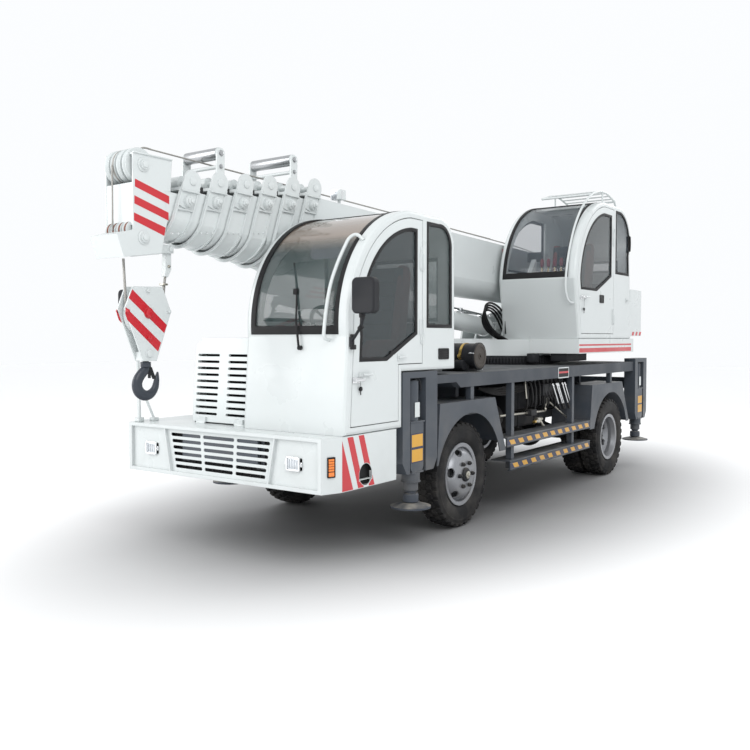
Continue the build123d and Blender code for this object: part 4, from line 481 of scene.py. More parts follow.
red_tape = tape("red_tape", (0.50, 0.008, 0.018))
yellow_tape = tape("yellow_tape", (0.62, 0.31, 0.003))
SIDES = ((1, "left"), (-1, "right"))
BUMPER_SIDE = 1.077
TAPE_T = 0.0008
WEDGE_AND_BARS = [[(0.166, 0.950), (0.166, 0.590), (0.295, 0.590)],
                  [(0.226, 0.968), (0.295, 0.968), (0.424, 0.590), (0.356, 0.590)],
                  [(0.361, 0.970), (0.427, 0.970), (0.561, 0.590), (0.491, 0.590)]]
for side, word in SIDES:
    marks = [plate([(side * BUMPER_SIDE, y, z) for y, z in outline], (side * TAPE_T, 0, 0))
             for outline in WEDGE_AND_BARS]
    marks = kept(marks, f"bumper_tape_{word}", "chassis", red_tape)
    cutters = [bar((side * 1.0, 0.45, 0.68), (side * 1.2, 0.45, 0.68), 0.084, 48, 0.0002),
               slab((side * 1.1 - 0.05, 0.366, 0.636), (side * 1.1 + 0.05, 0.534, 0.68), 0)]
    for cutter in cutters:
        cut_with(marks, cutter)
    kept([slab((side * 1.035 - 0.004, 0.350, 0.600), (side * 1.035 + 0.004, 0.550, 0.790), 0)],
         f"foot_hole_back_{word}", "chassis", moulding)
    kept([slab((side * 1.052 - 0.018, 0.371, 0.640), (side * 1.052 + 0.018, 0.529, 0.645), 0.001)],
         f"foot_hole_tread_{word}", "chassis", white)


# ---------------------------------------------------------------------------
# Tyres
# Radial truck tyres with open-shouldered block tread: a moulded carcass with a rib round each sidewall, and
# a ring of vulcanized blocks, two rows in the middle and a deeper lug on each shoulder.
def turned(profile, foot, head, sides=64):
    """Lathe work about the line from foot to head; profile is a closed loop of (radius, way along it)."""
    start = at(*foot)
    along = (at(*head) - start).normalized()
    out = along.orthogonal().normalized()
    bpy.ops.mesh.primitive_circle_add(vertices=len(profile), fill_type="NOTHING")
    piece = bpy.context.object
    for vertex, (radius, distance) in zip(piece.data.vertices, profile):
        vertex.co = start + along * distance + out * radius
    bpy.ops.object.mode_set(mode="EDIT")
    bpy.ops.mesh.select_all(action="SELECT")
    bpy.ops.mesh.spin(steps=sides, angle=2 * math.pi, center=start, axis=along)
    bpy.ops.mesh.select_all(action="SELECT")
    bpy.ops.mesh.remove_doubles(threshold=0.00005)
    bpy.ops.object.mode_set(mode="OBJECT")
    return piece


rubber = finish("tyre_rubber", (0.016, 0.016, 0.017), 0.72, dust=0.12, grime=0.18, tone=0.12, grain=160,
                relief=0.35)
TYRE_R, CROWN_R = 0.468, 0.4495
FRONT_AXLE, REAR_AXLE = 2.013, 5.587
FRONT_TRACK, REAR_OUTER, REAR_INNER = 0.910, 0.970, 0.728
PITCHES = 34
LUG_DRAFT = 0.004
SHOULDER, SHOULDER_DROP = 0.09, 0.004
#           lug: inner x, outer x, share of the pitch before and after, top radius, root radius
LUGS = [(0.006, 0.052, -0.42, 0.10, 0.4678, 0.445), (-0.052, -0.006, 0.02, 0.54, 0.4678, 0.445),
        (0.058, 0.1005, -0.16, 0.40, 0.4625, 0.438), (-0.1005, -0.058, 0.28, 0.84, 0.4625, 0.438)]
SIDEWALL = [(0.0795, 0.2556), (0.0795, 0.283), (0.0900, 0.296), (0.0985, 0.312), (0.1010, 0.316),
            (0.1045, 0.334), (0.1075, 0.360), (0.1068, 0.385), (0.1052, 0.398), (0.1072, 0.402),
            (0.1062, 0.409), (0.1030, 0.413), (0.0996, 0.430), (0.0960, 0.443)]


def tyre(name, x, y, body):
    """Carcass turned on its axle, with each kind of lug made once and spun round it."""
    axle = (x, y, TYRE_R)
    loop = [(radius, distance) for distance, radius in SIDEWALL] + [(CROWN_R, 0.05), (CROWN_R, -0.05)]
    loop += [(radius, -distance) for distance, radius in reversed(SIDEWALL)]
    parts = [turned(loop, axle, (x + 1, y, TYRE_R), 72)]
    pitch = 2 * math.pi / PITCHES
    for inner, outer, before, after, top, root in LUGS:
        corners = []
        for radius, draft in ((root, LUG_DRAFT), (top, 0.0)):
            for across, turn, way in ((inner - draft, before, -1), (outer + draft, before, -1),
                                      (outer + draft, after, 1), (inner - draft, after, 1)):
                angle = turn * pitch + way * draft / radius
                reach = radius - (SHOULDER_DROP if abs(across) > SHOULDER else 0.0)
                corners.append((x + across, y + reach * math.sin(angle), TYRE_R + reach * math.cos(angle)))
        bpy.ops.mesh.primitive_cube_add(size=1)
        lug = bpy.context.object
        for vertex, k in zip(lug.data.vertices, (0, 4, 3, 7, 1, 5, 2, 6)):
            vertex.co = at(*corners[k])
        softened(0.0035, 1)
        bpy.ops.object.mode_set(mode="EDIT")
        bpy.ops.mesh.select_all(action="SELECT")
        bpy.ops.mesh.spin(steps=PITCHES, dupli=True, angle=2 * math.pi, center=at(*axle), axis=(1, 0, 0))
        bpy.ops.mesh.select_all(action="SELECT")
        bpy.ops.mesh.remove_doubles(threshold=0.0001)
        bpy.ops.object.mode_set(mode="OBJECT")
        parts.append(lug)
    return kept(parts, name, body, rubber, 30)


for side, word in SIDES:
    front = tyre(f"tyre_front_{word}", side * FRONT_TRACK, FRONT_AXLE, f"wheel_front_{word}")
    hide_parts(f"front_tyre_{word}")
    outer = tyre(f"tyre_rear_outer_{word}", side * REAR_OUTER, REAR_AXLE, f"wheel_rear_{word}")
    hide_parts(f"rear_tyres_{word}")
    tyre(f"tyre_rear_inner_{word}", side * REAR_INNER, REAR_AXLE, f"wheel_rear_{word}")


# ---------------------------------------------------------------------------
# Window rubbers and dark borders
# Black rubber profile all round each pane, pressed between glass and steel; broad dark borders on the
# windscreens.
def pick_faces(piece, test):
    """Go into edit mode with just the faces selected that pass the test."""
    bpy.context.tool_settings.mesh_select_mode = (False, False, True)
    for face in piece.data.polygons:
        face.select = test(face)
    bpy.ops.object.mode_set(mode="EDIT")


def rubber_round(name, glass, body, outer, width, windows=()):
    """Border of the panes whose outer faces pass the test: an inset ring, or all outside the windows."""
    piece = bpy.data.objects.new(name, nodes[glass].data.copy())
    bpy.context.collection.objects.link(piece)
    bpy.context.view_layer.objects.active = piece
    piece.select_set(True)
    bpy.ops.mesh.customdata_custom_splitnormals_clear()
    bpy.ops.object.mode_set(mode="EDIT")
    bpy.ops.mesh.select_all(action="SELECT")
    bpy.ops.mesh.remove_doubles(threshold=0.00001)
    bpy.ops.object.mode_set(mode="OBJECT")
    pick_faces(piece, lambda face: not outer(face.center, face.normal))
    bpy.ops.mesh.delete(type="FACE")
    if windows:
        (x0, x1), (z0, z1), y1 = windows
        for place, normal in (((x0, 0, 0), (1, 0, 0)), ((x1, 0, 0), (1, 0, 0)), ((0, 0, z0), (0, 0, 1)),
                              ((0, y1, 0), (0, 1, 0))):
            bpy.ops.mesh.select_all(action="SELECT")
            bpy.ops.mesh.bisect(plane_co=place, plane_no=normal)
        bpy.ops.object.mode_set(mode="OBJECT")
        pick_faces(piece, lambda face: x0 < face.center.x < x1 and z0 < face.center.z and face.center.y < y1)
    else:
        bpy.ops.mesh.select_all(action="SELECT")
        bpy.ops.mesh.inset(thickness=width)
    bpy.ops.mesh.delete(type="FACE")
    bpy.ops.object.mode_set(mode="OBJECT")
    bpy.context.tool_settings.mesh_select_mode = (True, False, False)
    bpy.ops.object.modifier_add(type="SOLIDIFY")
    wall = piece.modifiers[-1]
    wall.thickness = 0.0125
    wall.offset = 1
    bpy.ops.object.modifier_apply(modifier=wall.name)
    softened(0.003, 2)
    return kept([piece], name, body, window_rubber, 40)


window_rubber = finish("window_rubber", (0.014, 0.014, 0.015), 0.5, dust=0.05, grime=0.0, tone=0.06,
                       grain=200, relief=0.1)
bpy.ops.object.select_all(action="DESELECT")
# cab, its body, the rubbers' width, sides and foot of the clear part of the windscreen, and the places along
# the crane where the clear part ends on the roof, where the screen ends and where the rear pane begins
CAB_GLASS = (("driver", "chassis", 0.030, (0.186, 0.948), 1.762, 1.075, 1.2, 1.70),
             ("operator", "turret", 0.032, (0.190, 0.922), 2.425, 5.405, 5.5, 6.30))
for cab, body, width, across_screen, sill, roof_end, screen_end, rear in CAB_GLASS:
    rubber_round(f"{cab}_door_rubber", f"{cab}_door_glass", f"{cab}_door", lambda c, n: n.x > 0.9, width)
    rubber_round(f"{cab}_quarter_rubber", f"{cab}_cab_glass", body, lambda c, n: n.x > 0.9 and c.x > 1.03,
                 width)
    rubber_round(f"{cab}_inner_rubber", f"{cab}_cab_glass", body, lambda c, n: n.x < -0.9 and c.x < 0.12,
                 width)
    rubber_round(f"{cab}_rear_rubber", f"{cab}_cab_glass", body,
                 lambda c, n: n.y > 0.9 and c.y > FRONT + rear, width)
    rubber_round(f"{cab}_windscreen_border", f"{cab}_cab_glass", body,
                 lambda c, n: abs(n.x) < 0.1 and n.z - n.y > 0.25 and c.y < FRONT + screen_end, 0.0,
                 (across_screen, (sill, 9), FRONT + roof_end))


# ---------------------------------------------------------------------------
# Door handles, keys, latches, hinges and vents
# Cast chromed pull handles with a key left in the lock, painted side latches, folded hinge leaves with
# their pins, and small black moulded vents let into the sheet.
DRIVER_SIDE, OPERATOR_SIDE = 1.077, 1.050
LEFTWARD = (1, 0, 0)


def pull_handle(x, y, z, body, name, string):
    """Pull handle on its foot, with the lock, the key in it and a tag on a string."""
    plated = [slab((x, y - 0.048, z - 0.024), (x + 0.010, y + 0.044, z + 0.020), 0.005),
              bar((x + 0.008, y - 0.030, z), (x + 0.030, y - 0.026, z), 0.010),
              slab((x + 0.024, y - 0.044, z - 0.011), (x + 0.037, y + 0.066, z + 0.011), 0.006),
              bar((x + 0.008, y + 0.018, z - 0.004), (x + 0.016, y + 0.018, z - 0.004), 0.011)]
    kept(plated, f"{name}_handle", body, chrome)
    foot = z - 0.03 - string
    keys = [bar((x + 0.016, y + 0.018, z - 0.004), (x + 0.030, y + 0.018, z - 0.006), 0.006),
            bar((x + 0.024, y + 0.020, z - 0.010), (x + 0.012, y + 0.040, foot), 0.0014, 8, 0.0002),
            bar((x + 0.008, y + 0.040, foot - 0.016), (x + 0.018, y + 0.040, foot - 0.016), 0.017),
            slab((x + 0.010, y + 0.036, foot - 0.060), (x + 0.015, y + 0.043, foot - 0.028), 0.001)]
    kept(keys, f"{name}_keys", body, moulding)


pull_handle(DRIVER_SIDE, 0.331, 1.372, "driver_door", "driver_door", 0.02)
pull_handle(OPERATOR_SIDE, 4.700, 2.136, "operator_door", "operator_door", 0.09)


def side_latch(x, y, z):
    """Painted latch: its pivot, lever and foot plate."""
    return [bar((x, y, z), (x + 0.022, y, z), 0.013),
            slab((x + 0.016, y, z - 0.008), (x + 0.026, y + 0.09, z + 0.008), 0.004),
            slab((x, y - 0.016, z - 0.030), (x + 0.006, y + 0.016, z + 0.026), 0.003)]


kept(side_latch(DRIVER_SIDE, 0.880, 1.526), "driver_door_latch", "driver_door", white)
kept(side_latch(OPERATOR_SIDE, 6.215, 2.153), "operator_side_latch", "turret", white)


def vent(name, x, y, z, width, height, body):
    """Moulded frame let into the sheet, with four slats."""
    frame = [panel((x + 0.008, y, z), width, height, 0.012, 0.008, LEFTWARD, rim=0.012, edge=0.002),
             panel((x + 0.003, y, z), width - 0.01, height - 0.01, 0.008, 0.003, LEFTWARD)]
    for row in range(4):
        level = z - height / 2 + 0.024 + (height - 0.048) * row / 3
        frame.append(slab((x + 0.002, y - width / 2 + 0.012, level - 0.004),
                          (x + 0.007, y + width / 2 - 0.012, level + 0.004), 0.0015))
    kept(frame, name, body, moulding)


vent("driver_cab_vent", DRIVER_SIDE, 1.560, 1.541, 0.165, 0.092, "chassis")
vent("operator_door_vent", OPERATOR_SIDE, 5.328, 2.138, 0.130, 0.096, "operator_door")


def leaf_hinge(name, x, y, z, height, body):
    """Folded leaf with its pin and six screws."""
    leaf = [slab((x + 0.0004, y - 0.030, z - height / 2), (x + 0.004, y + 0.030, z + height / 2), 0.0015),
            bar((x + 0.006, y, z - height / 2 - 0.004), (x + 0.006, y, z + height / 2 + 0.004), 0.0075)]
    for row in (y - 0.019, y + 0.019):
        for level in (z - 0.36 * height, z, z + 0.36 * height):
            leaf.append(bar((x + 0.003, row, level), (x + 0.008, row, level), 0.0055, 6, 0.001))
    kept(leaf, name, body, white)


leaf_hinge("driver_door_upper_hinge", DRIVER_SIDE, 1.225, 2.300, 0.190, "chassis")
leaf_hinge("driver_door_lower_hinge", DRIVER_SIDE, 1.225, 1.690, 0.130, "chassis")
leaf_hinge("operator_door_upper_hinge", OPERATOR_SIDE, 5.725, 2.890, 0.170, "turret")
leaf_hinge("operator_door_lower_hinge", OPERATOR_SIDE, 5.725, 1.940, 0.170, "turret")


# ---------------------------------------------------------------------------
# Windscreen wiper
# Pressed steel arm painted black on a spindle in the scuttle, with its jointed rubber blade parked upright.
kept([bar((0.640, 0.262, 1.600), (0.640, 0.215, 1.600), 0.017),
      bar((0.640, 0.215, 1.600), (0.604, 0.228, 1.800), 0.0085),
      bar((0.604, 0.228, 1.800), (0.560, 0.290, 2.02), 0.0065),
      bar((0.600, 0.232, 1.790), (0.556, 0.294, 2.030), 0.004),
      slab((0.540, 0.268, 1.995), (0.578, 0.300, 2.040), 0.004),
      bar((0.640, 0.243, 1.720), (0.452, 0.388, 2.240), 0.0075),
      bar((0.640, 0.252, 1.722), (0.452, 0.398, 2.242), 0.006)], "windscreen_wiper", "chassis", moulding)


# ---------------------------------------------------------------------------
# Mirrors
# Moulded heads with silvered glass behind, held on bent arms by clamp plates; the far post is painted
# white.
silver = finish("mirror_glass", (0.86, 0.88, 0.89), 0.03, tone=0.0, dust=0.0, grime=0.0, metal=1.0,
                grain=10, relief=0.0)
MIRROR_X, MIRROR_BACK, MIRROR_Z = 1.258, 0.224, 1.965
BACKWARD = (0, 1, 0)
kept([panel((side * MIRROR_X, MIRROR_BACK + 0.0015, MIRROR_Z), 0.160, 0.215, 0.03, 0.003, BACKWARD,
            edge=0.001) for side in (-1, 1)], "mirror_glasses", "chassis", silver)
rims = [panel((side * MIRROR_X, MIRROR_BACK + 0.003, MIRROR_Z), 0.186, 0.244, 0.04, 0.006, BACKWARD,
              rim=0.014, edge=0.002) for side in (-1, 1)]
clamps = [bar((1.232, 0.190, 1.842), (1.232, 0.190, 1.812), 0.022),
          slab((1.088, 0.240, 1.590), (1.112, 0.290, 1.625), 0.006),
          slab((1.088, 0.240, 1.672), (1.112, 0.290, 1.700), 0.006),
          bar((1.200, 0.205, 1.735), (1.224, 0.198, 1.752), 0.019)]
kept(rims + clamps, "mirror_rims_and_clamps", "chassis", moulding)
POST_JOINT = (-1.037, 0.120, 1.306)
post = [bar((-1.035, 0.120, 0.982), (-1.062, 0.120, 1.985), 0.0145),
        bar(POST_JOINT, (-0.960, 0.060, 0.992), 0.0105), bar(POST_JOINT, (-0.930, 0.190, 0.992), 0.0105)]
feet = [slab((x - 0.028, y - 0.028, 0.9765), (x + 0.028, y + 0.028, 1.004), 0.003)
        for x, y in ((-1.035, 0.120), (-0.960, 0.060), (-0.930, 0.190))]
kept(post + feet, "far_mirror_post", "chassis", white)


# ---------------------------------------------------------------------------
# Dark backs behind the hood and bumper slots
# The radiator core and its shroud stand close behind the punched sheet; the flat near-black sheets that stand
# for them also carry painted shade, so the slots read black.
core_and_shade_black = finish("core_and_shade_black", (0.008, 0.008, 0.009), 0.6, dust=0.1, grime=0.0, tone=0.05)
# flat near-black sheets: the core's dark face together with painted shade of the deep slots
kept([slab((-0.540, 0.420, 1.000), (0.050, 0.428, 1.590), 0),
      slab((-0.600, 0.066, 0.620), (0.600, 0.072, 0.930), 0)], "radiator_core_and_shade", "chassis", core_and_shade_black)
kept([bar((-0.5 + 0.1 * k, 0.060, 0.625), (-0.5 + 0.1 * k, 0.060, 0.925), 0.004, 8, 0.0005)
      for k in range(11)], "radiator_bars", "chassis", iron)
kept([bar((x, 0.2795, 0.9795), (x + 0.10, 0.2795, 0.9795), 0.0115) for x in (-0.510, -0.070)],
     "hood_hinge_barrels", "chassis", white)


# ---------------------------------------------------------------------------
# Wheels
# Pressed and painted disc wheels: the front disc bulges out with six hand holes in its flank, a black hub
# and a zinc grease cap in front of it; hexagon nuts hold every disc.
wheel_grey = finish("wheel_paint", (0.30, 0.31, 0.33), 0.30, dust=0.05, grime=0.25, bend=0.003, tone=0.1,
                    metal=0.55, worn=(0.1, 0.09, 0.08), wear=0.3)
zinc = finish("zinc_plate", (0.50, 0.48, 0.42), 0.28, dust=0.1, grime=0.3, tone=0.08, metal=0.9)
dress(wheel_grey, *[n for n in nodes if n.startswith(("front_rim", "rear_rims"))])
DISC = [(0.236, 0.062), (0.2275, 0.078), (0.208, 0.106), (0.186, 0.124), (0.168, 0.1305), (0.150, 0.132),
        (0.060, 0.132), (0.060, 0.122), (0.148, 0.122), (0.165, 0.1205), (0.180, 0.1145), (0.199, 0.098),
        (0.218, 0.072), (0.226, 0.058)]
HAND_HOLES, HAND_HOLE_CIRCLE = 6, 0.205
STUDS, STUD_CIRCLE = 6, 0.111


def hexagon(start, end, size):
    """Hexagon head or nut between two places, size to its corners."""
    return bar(start, end, size, 6, size * 0.12)


def ring_of(shape, x0, x1, y, circle, count, *size):
    """Like pieces at count places on a circle round the axle at y, each from x0 to x1."""
    pieces = []
    for k in range(count):
        angle = 2 * math.pi * k / count
        place = (y + circle * math.cos(angle), TYRE_R + circle * math.sin(angle))
        pieces.append(shape((x0, *place), (x1, *place), *size))
    return pieces


for side, word in SIDES:
    wheel, x, y = f"wheel_front_{word}", side * FRONT_TRACK, FRONT_AXLE
    disc = turned(DISC, (x, y, TYRE_R), (x + side, y, TYRE_R), 72)
    for k in range(HAND_HOLES):
        angle = math.radians(-10 + 360 / HAND_HOLES * k)
        place = at(x + side * 0.1, y + HAND_HOLE_CIRCLE * math.cos(angle),
                   TYRE_R + HAND_HOLE_CIRCLE * math.sin(angle))
        bpy.ops.mesh.primitive_cylinder_add(vertices=32, radius=0.024, depth=0.2, location=place)
        hole = bpy.context.object
        round_hub = Matrix.Rotation(angle, 4, "X")
        oval = round_hub @ Matrix.Diagonal((1, 1, 1.75, 1)) @ round_hub.inverted()
        hole.data.transform(oval @ Matrix.Rotation(math.pi / 2, 4, "Y"))
        cut_with(disc, hole)
    kept([disc], f"front_disc_{word}", wheel, wheel_grey, 30)
    hub = turned([(0.062, 0.108), (0.062, 0.142), (0.056, 0.150), (0.040, 0.152), (0.030, 0.152),
                  (0.030, 0.108)], (x, y, TYRE_R), (x + side, y, TYRE_R), 40)
    nuts = ring_of(hexagon, x + side * 0.130, x + side * 0.154, y, STUD_CIRCLE, STUDS, 0.019)
    nuts += ring_of(bar, x + side * 0.150, x + side * 0.164, y, STUD_CIRCLE, STUDS, 0.010, 12)
    kept([hub] + nuts, f"front_hub_and_nuts_{word}", wheel, iron)
    kept([bar((x + side * 0.140, y, TYRE_R), (x + side * 0.163, y, TYRE_R), 0.034, 32),
          hexagon((x + side * 0.160, y, TYRE_R), (x + side * 0.172, y, TYRE_R), 0.017)],
         f"front_hub_cap_{word}", wheel, zinc)
    wheel, y = f"wheel_rear_{word}", REAR_AXLE
    nuts = ring_of(hexagon, side * 0.857, side * 0.893, y, STUD_CIRCLE, STUDS, 0.020)
    nuts += [bar((side * 0.952, y, TYRE_R), (side * 0.962, y, TYRE_R), 0.066, 32)]
    nuts += ring_of(hexagon, side * 0.950, side * 0.968, y, 0.055, 8, 0.009)
    kept(nuts, f"rear_nuts_{word}", wheel, iron)


# ---------------------------------------------------------------------------
# Wheel houses
# Folded inner panels welded behind the fenders: a flat roof over each front wheel and a deep arch over each
# rear pair, with a flat end plate before and behind.
REAR_ARCH_Y = 5.627
HOUSE_FACE, HOUSE_BACK = 1.066, 0.60
END_FOOT, END_TOP = 0.614, 1.11294
#          axle      end plates: foot and top before the wheel, foot and top behind it
HOUSES = (("front", (1.467, 1.513), (2.739, 2.511)), ("rear", (4.916, 4.987), (6.286, 6.014)))
for axle, before, behind in HOUSES:
    for side, word in SIDES:
        if axle == "front":  # flat roof, so that the steered wheel swings clear
            low = 0.700
            arch = plate([(side * HOUSE_FACE, 1.508, 1.000), (side * 0.55, 1.508, 1.000),
                          (side * 0.55, 2.560, 1.000), (side * HOUSE_FACE, 2.560, 1.000)], (0, 0, 0.005))
        else:
            low = END_FOOT
            bpy.ops.mesh.primitive_cylinder_add(vertices=96, radius=0.594, depth=0.516,
                                                rotation=(0, math.pi / 2, 0),
                                                location=at(side * 0.808, REAR_ARCH_Y, 0.412),
                                                end_fill_type="NOTHING")
            arch = bpy.context.object
            bpy.ops.object.transform_apply(location=True, rotation=True, scale=False)
            pick_faces(arch, lambda face: face.center.z < 0.64)
            bpy.ops.mesh.delete(type="FACE")
            bpy.ops.object.mode_set(mode="OBJECT")
            bpy.context.tool_settings.mesh_select_mode = (True, False, False)
            bpy.ops.object.modifier_add(type="SOLIDIFY")
            arch.modifiers[-1].thickness = 0.004
            arch.modifiers[-1].offset = 1
            bpy.ops.object.modifier_apply(modifier=arch.modifiers[-1].name)
        ends = []
        for (foot, top), lift in ((before, 0.005), (behind, -0.005)):
            start = foot + (top - foot) * (low - END_FOOT) / (END_TOP - END_FOOT)
            ends.append(plate([(side * HOUSE_FACE, start, low), (side * HOUSE_BACK, start, low),
                               (side * HOUSE_BACK, top, END_TOP), (side * HOUSE_FACE, top, END_TOP)],
                              (0, lift, 0)))
        kept([arch] + ends, f"wheel_house_{axle}_{word}", "chassis", slate)


# ---------------------------------------------------------------------------
# Outrigger legs
# Slate painted box legs with two yellow reflective patches on blue, a blank white label, lips round the
# shoe, a short pipe bend at the jack's head, and a painted ram whose ball sits in a cup on the dusty
# pressed pad.
blue_tape = tape("blue_tape", (0.012, 0.018, 0.06))
jack_slate = finish("jack_enamel", (0.055, 0.066, 0.085), 0.45, dust=1.0, grime=0.15, tone=0.1)
dress(jack_slate, *[n for n in nodes if n.startswith("jack_")])
OUTRIGGERS = (("front", 1.168), ("rear", 6.752))
SHOE_FACE, SHOE_X, JACK_X, PIPE_X = 1.069, 1.044, 1.008, 1.030
BLUE_LIFT, YELLOW_LIFT = 0.0006, 0.0012


def sticker(x, y0, y1, z0, z1, lift, lean=0.0):
    """Thin sheet on a face that looks sideways, its upper edge moved along by lean."""
    return plate([(x, y0, z0), (x, y1, z0), (x, y1 + lean, z1), (x, y0 + lean, z1)], (lift, 0, 0))


def tube(places, radius, sides=10, swell=None, order=4, steps=8):
    """Bent pipe, hose or bar through the places; swell scales the radius at each of them."""
    bpy.ops.curve.primitive_nurbs_path_add()
    path = bpy.context.object
    path.data.splines.clear()
    spline = path.data.splines.new("NURBS")
    spline.points.add(len(places) - 1)
    for point, place, share in zip(spline.points, places, swell or [1] * len(places)):
        point.co = (*at(*place), 1)
        point.radius = share
    spline.order_u = min(order, len(places))
    spline.use_endpoint_u = True
    spline.resolution_u = steps
    path.data.bevel_depth = radius
    path.data.bevel_resolution = max(1, sides // 4)
    path.data.use_fill_caps = True
    bpy.ops.object.convert(target="MESH")
    return bpy.context.object


for end, middle in OUTRIGGERS:
    for side, word in SIDES:
        body, leg = f"beam_{end}_{word}", f"{end}_{word}"
        face, shoe, jack, pipe = side * SHOE_FACE, side * SHOE_X, side * JACK_X, side * PIPE_X
        blues, yellows = [], []
        for z0, z1 in ((0.806, 0.904), (0.688, 0.786)):
            for marks, grow, lift in ((blues, 0.009, BLUE_LIFT), (yellows, 0.0, YELLOW_LIFT)):
                marks.append(sticker(face, middle - 0.080 - grow, middle + 0.082 + grow, z0 - grow, z1 + grow,
                                     side * lift))
        kept(blues, f"leg_backing_{leg}", body, blue_tape)
        kept(yellows, f"leg_patches_{leg}", body, yellow_tape)
        kept([sticker(face, middle - 0.036, middle + 0.036, 1.042, 1.160, side * BLUE_LIFT)],
             f"leg_label_{leg}", body, white)
        kept([slab((shoe - 0.032, middle - 0.104, 0.998), (shoe + 0.032, middle + 0.104, 1.011)),
              slab((shoe - 0.032, middle - 0.088, 0.594), (shoe + 0.032, middle + 0.088, 0.607)),
              bar((jack, middle, 0.520), (jack, middle, 0.533), 0.080, 40, 0.003),
              bar((jack, middle, 1.330), (jack, middle, 1.338), 0.052, 40, 0.003)],
             f"shoe_lips_{leg}", body, slate)
        kept([tube([(pipe, middle + 0.02, 1.335), (pipe, middle + 0.02, 1.352),
                    (side * 1.038, middle + 0.05, 1.354), (side * 1.045, middle + 0.085, 1.33),
                    (side * 1.045, middle + 0.085, 1.25)], 0.010),
              hexagon((pipe, middle + 0.02, 1.330), (pipe, middle + 0.02, 1.344), 0.015)],
             f"jack_pipe_{leg}", body, iron)
        kept([turned([(0.063, 0.0), (0.063, 0.058), (0.056, 0.066), (0.036, 0.068), (0.036, 0.0)],
                     (jack, middle, 0.362), (jack, middle, 1.362), 40),
              bar((jack, middle, 0.448), (jack, middle, 0.456), 0.052, 40, 0.002)],
             f"jack_cup_{leg}", f"jack_{leg}", jack_slate)


# ---------------------------------------------------------------------------
# Step boards and deck edge
# Folded boards whose edges are rolled outward, with a blue reflective strip and slanted yellow patches, and
# a blank plate in a bright frame riveted to the deck's edge.
STEP_FACE = 1.075
STRIP_FOOT, STRIP_TOP = -0.076, -0.024
#         top    front  rear   first patch, patches
STEPS = ((0.722, 2.770, 4.910, 2.815, 11), (0.492, 2.840, 4.920, 2.890, 10))
for side, word in SIDES:
    x = side * STEP_FACE
    strips, patches, lips = [], [], []
    for top, y0, y1, first, count in STEPS:
        z0, z1 = top + STRIP_FOOT, top + STRIP_TOP
        strips.append(sticker(x, y0 + 0.006, y1 - 0.006, z0, z1, side * BLUE_LIFT))
        for k in range(count):
            y = first + (y1 - 0.105 - first) * k / (count - 0.7)
            patches.append(sticker(x, y + 0.042, y + 0.146, z0 + 0.003, z1 - 0.003, side * YELLOW_LIFT,
                                   -0.044))
        lips += [bar((side * 1.069, y0 - 0.001, level), (side * 1.069, y1 + 0.001, level), 0.0105, 20)
                 for level in (top - 0.0105, top - 0.0855)]
    kept(strips, f"step_strips_{word}", "chassis", blue_tape)
    kept(patches, f"step_patches_{word}", "chassis", yellow_tape)
    kept(lips, f"step_lips_{word}", "chassis", slate)
PLATE_Y, PLATE_Z = 4.188, 1.297
rivets = [bar((1.0505, PLATE_Y + a, PLATE_Z + b), (1.0535, PLATE_Y + a, PLATE_Z + b), 0.005, 12, 0.0005)
          for a in (-0.138, 0.138) for b in (-0.05, 0.05)]
kept([panel((1.0522, PLATE_Y, PLATE_Z), 0.292, 0.118, 0.006, 0.002, LEFTWARD, rim=0.012)] + rivets,
     "deck_plate_frame", "chassis", boom_white)
kept([panel((1.0514, PLATE_Y, PLATE_Z), 0.272, 0.098, 0.002, 0.0012, LEFTWARD)], "deck_plate", "chassis",
     moulding)
kept([panel((1.0517, PLATE_Y, PLATE_Z + 0.004), 0.266, 0.020, 0.001, 0.0012, LEFTWARD)], "deck_plate_band",
     "chassis", red_tape)


# ---------------------------------------------------------------------------
# Hydraulics and tanks under the deck
# Chromed control levers on the valve bank, black rubber hoses and steel pipes to the outriggers, strapped
# tanks.
hose_black = finish("hose_rubber", (0.014, 0.014, 0.015), 0.5, dust=0.3, grime=0.3, tone=0.1, grain=300,
                    relief=0.3)
brass = finish("brass", (0.62, 0.42, 0.13), 0.25, dust=0.1, grime=0.2, tone=0.05, metal=1.0)
LEVERS_Y = (4.05, 4.15, 4.19, 4.31, 4.38)
levers = []
for y in LEVERS_Y:
    levers.append(bar((0.985, y, 1.172), (1.012, y + 0.10, 0.950), 0.0095))
    levers.append(hexagon((0.978, y - 0.008, 1.182), (0.988, y + 0.010, 1.150), 0.016))
kept(levers, "outrigger_levers", "chassis", chrome)
kept([bar((1.011, y + 0.097, 0.958), (1.018, y + 0.125, 0.895), 0.0125) for y in LEVERS_Y],
     "lever_grips", "chassis", hose_black)
hoses = []
for k in range(9):
    y = 3.47 + 0.105 * k
    sag = 0.10 * math.sin(k * 2.4)
    hoses.append(tube([(0.93, y, 1.235), (0.96, y + 0.01, 1.15),
                       (0.955, y + 0.03 * math.sin(k * 1.7), 1.02 + sag * 0.3),
                       (0.93, y + 0.06 + sag * 0.3, 0.94 + sag * 0.4), (0.86, y + 0.10, 0.90 + sag * 0.3),
                       (0.70, y + 0.14, 0.90)], 0.011))
for k in range(4):
    hoses.append(tube([(0.80, 2.70, 1.190), (0.84, 2.95, 1.16 - 0.02 * k), (0.86, 3.25, 1.205 - 0.03 * k),
                       (0.84, 3.55, 1.17 - 0.02 * k), (0.80, 3.86, 1.14)], 0.012))
kept(hoses, "deck_hoses", "chassis", hose_black)
kept([bar((0.900, 2.95, 0.906), (0.905, 3.62, 0.893), 0.013),
      bar((0.905, 3.72, 0.890), (0.905, 4.02, 0.883), 0.013),
      tube([(0.905, 4.02, 0.883), (0.905, 4.055, 0.883), (0.905, 4.06, 0.92), (0.905, 4.06, 1.06)], 0.012),
      bar((0.93, 3.465, 1.24), (0.95, 3.465, 1.05), 0.010),
      bar((0.90, 4.14, 0.98), (0.98, 4.52, 0.76), 0.010)], "steel_pipes", "chassis", zinc)
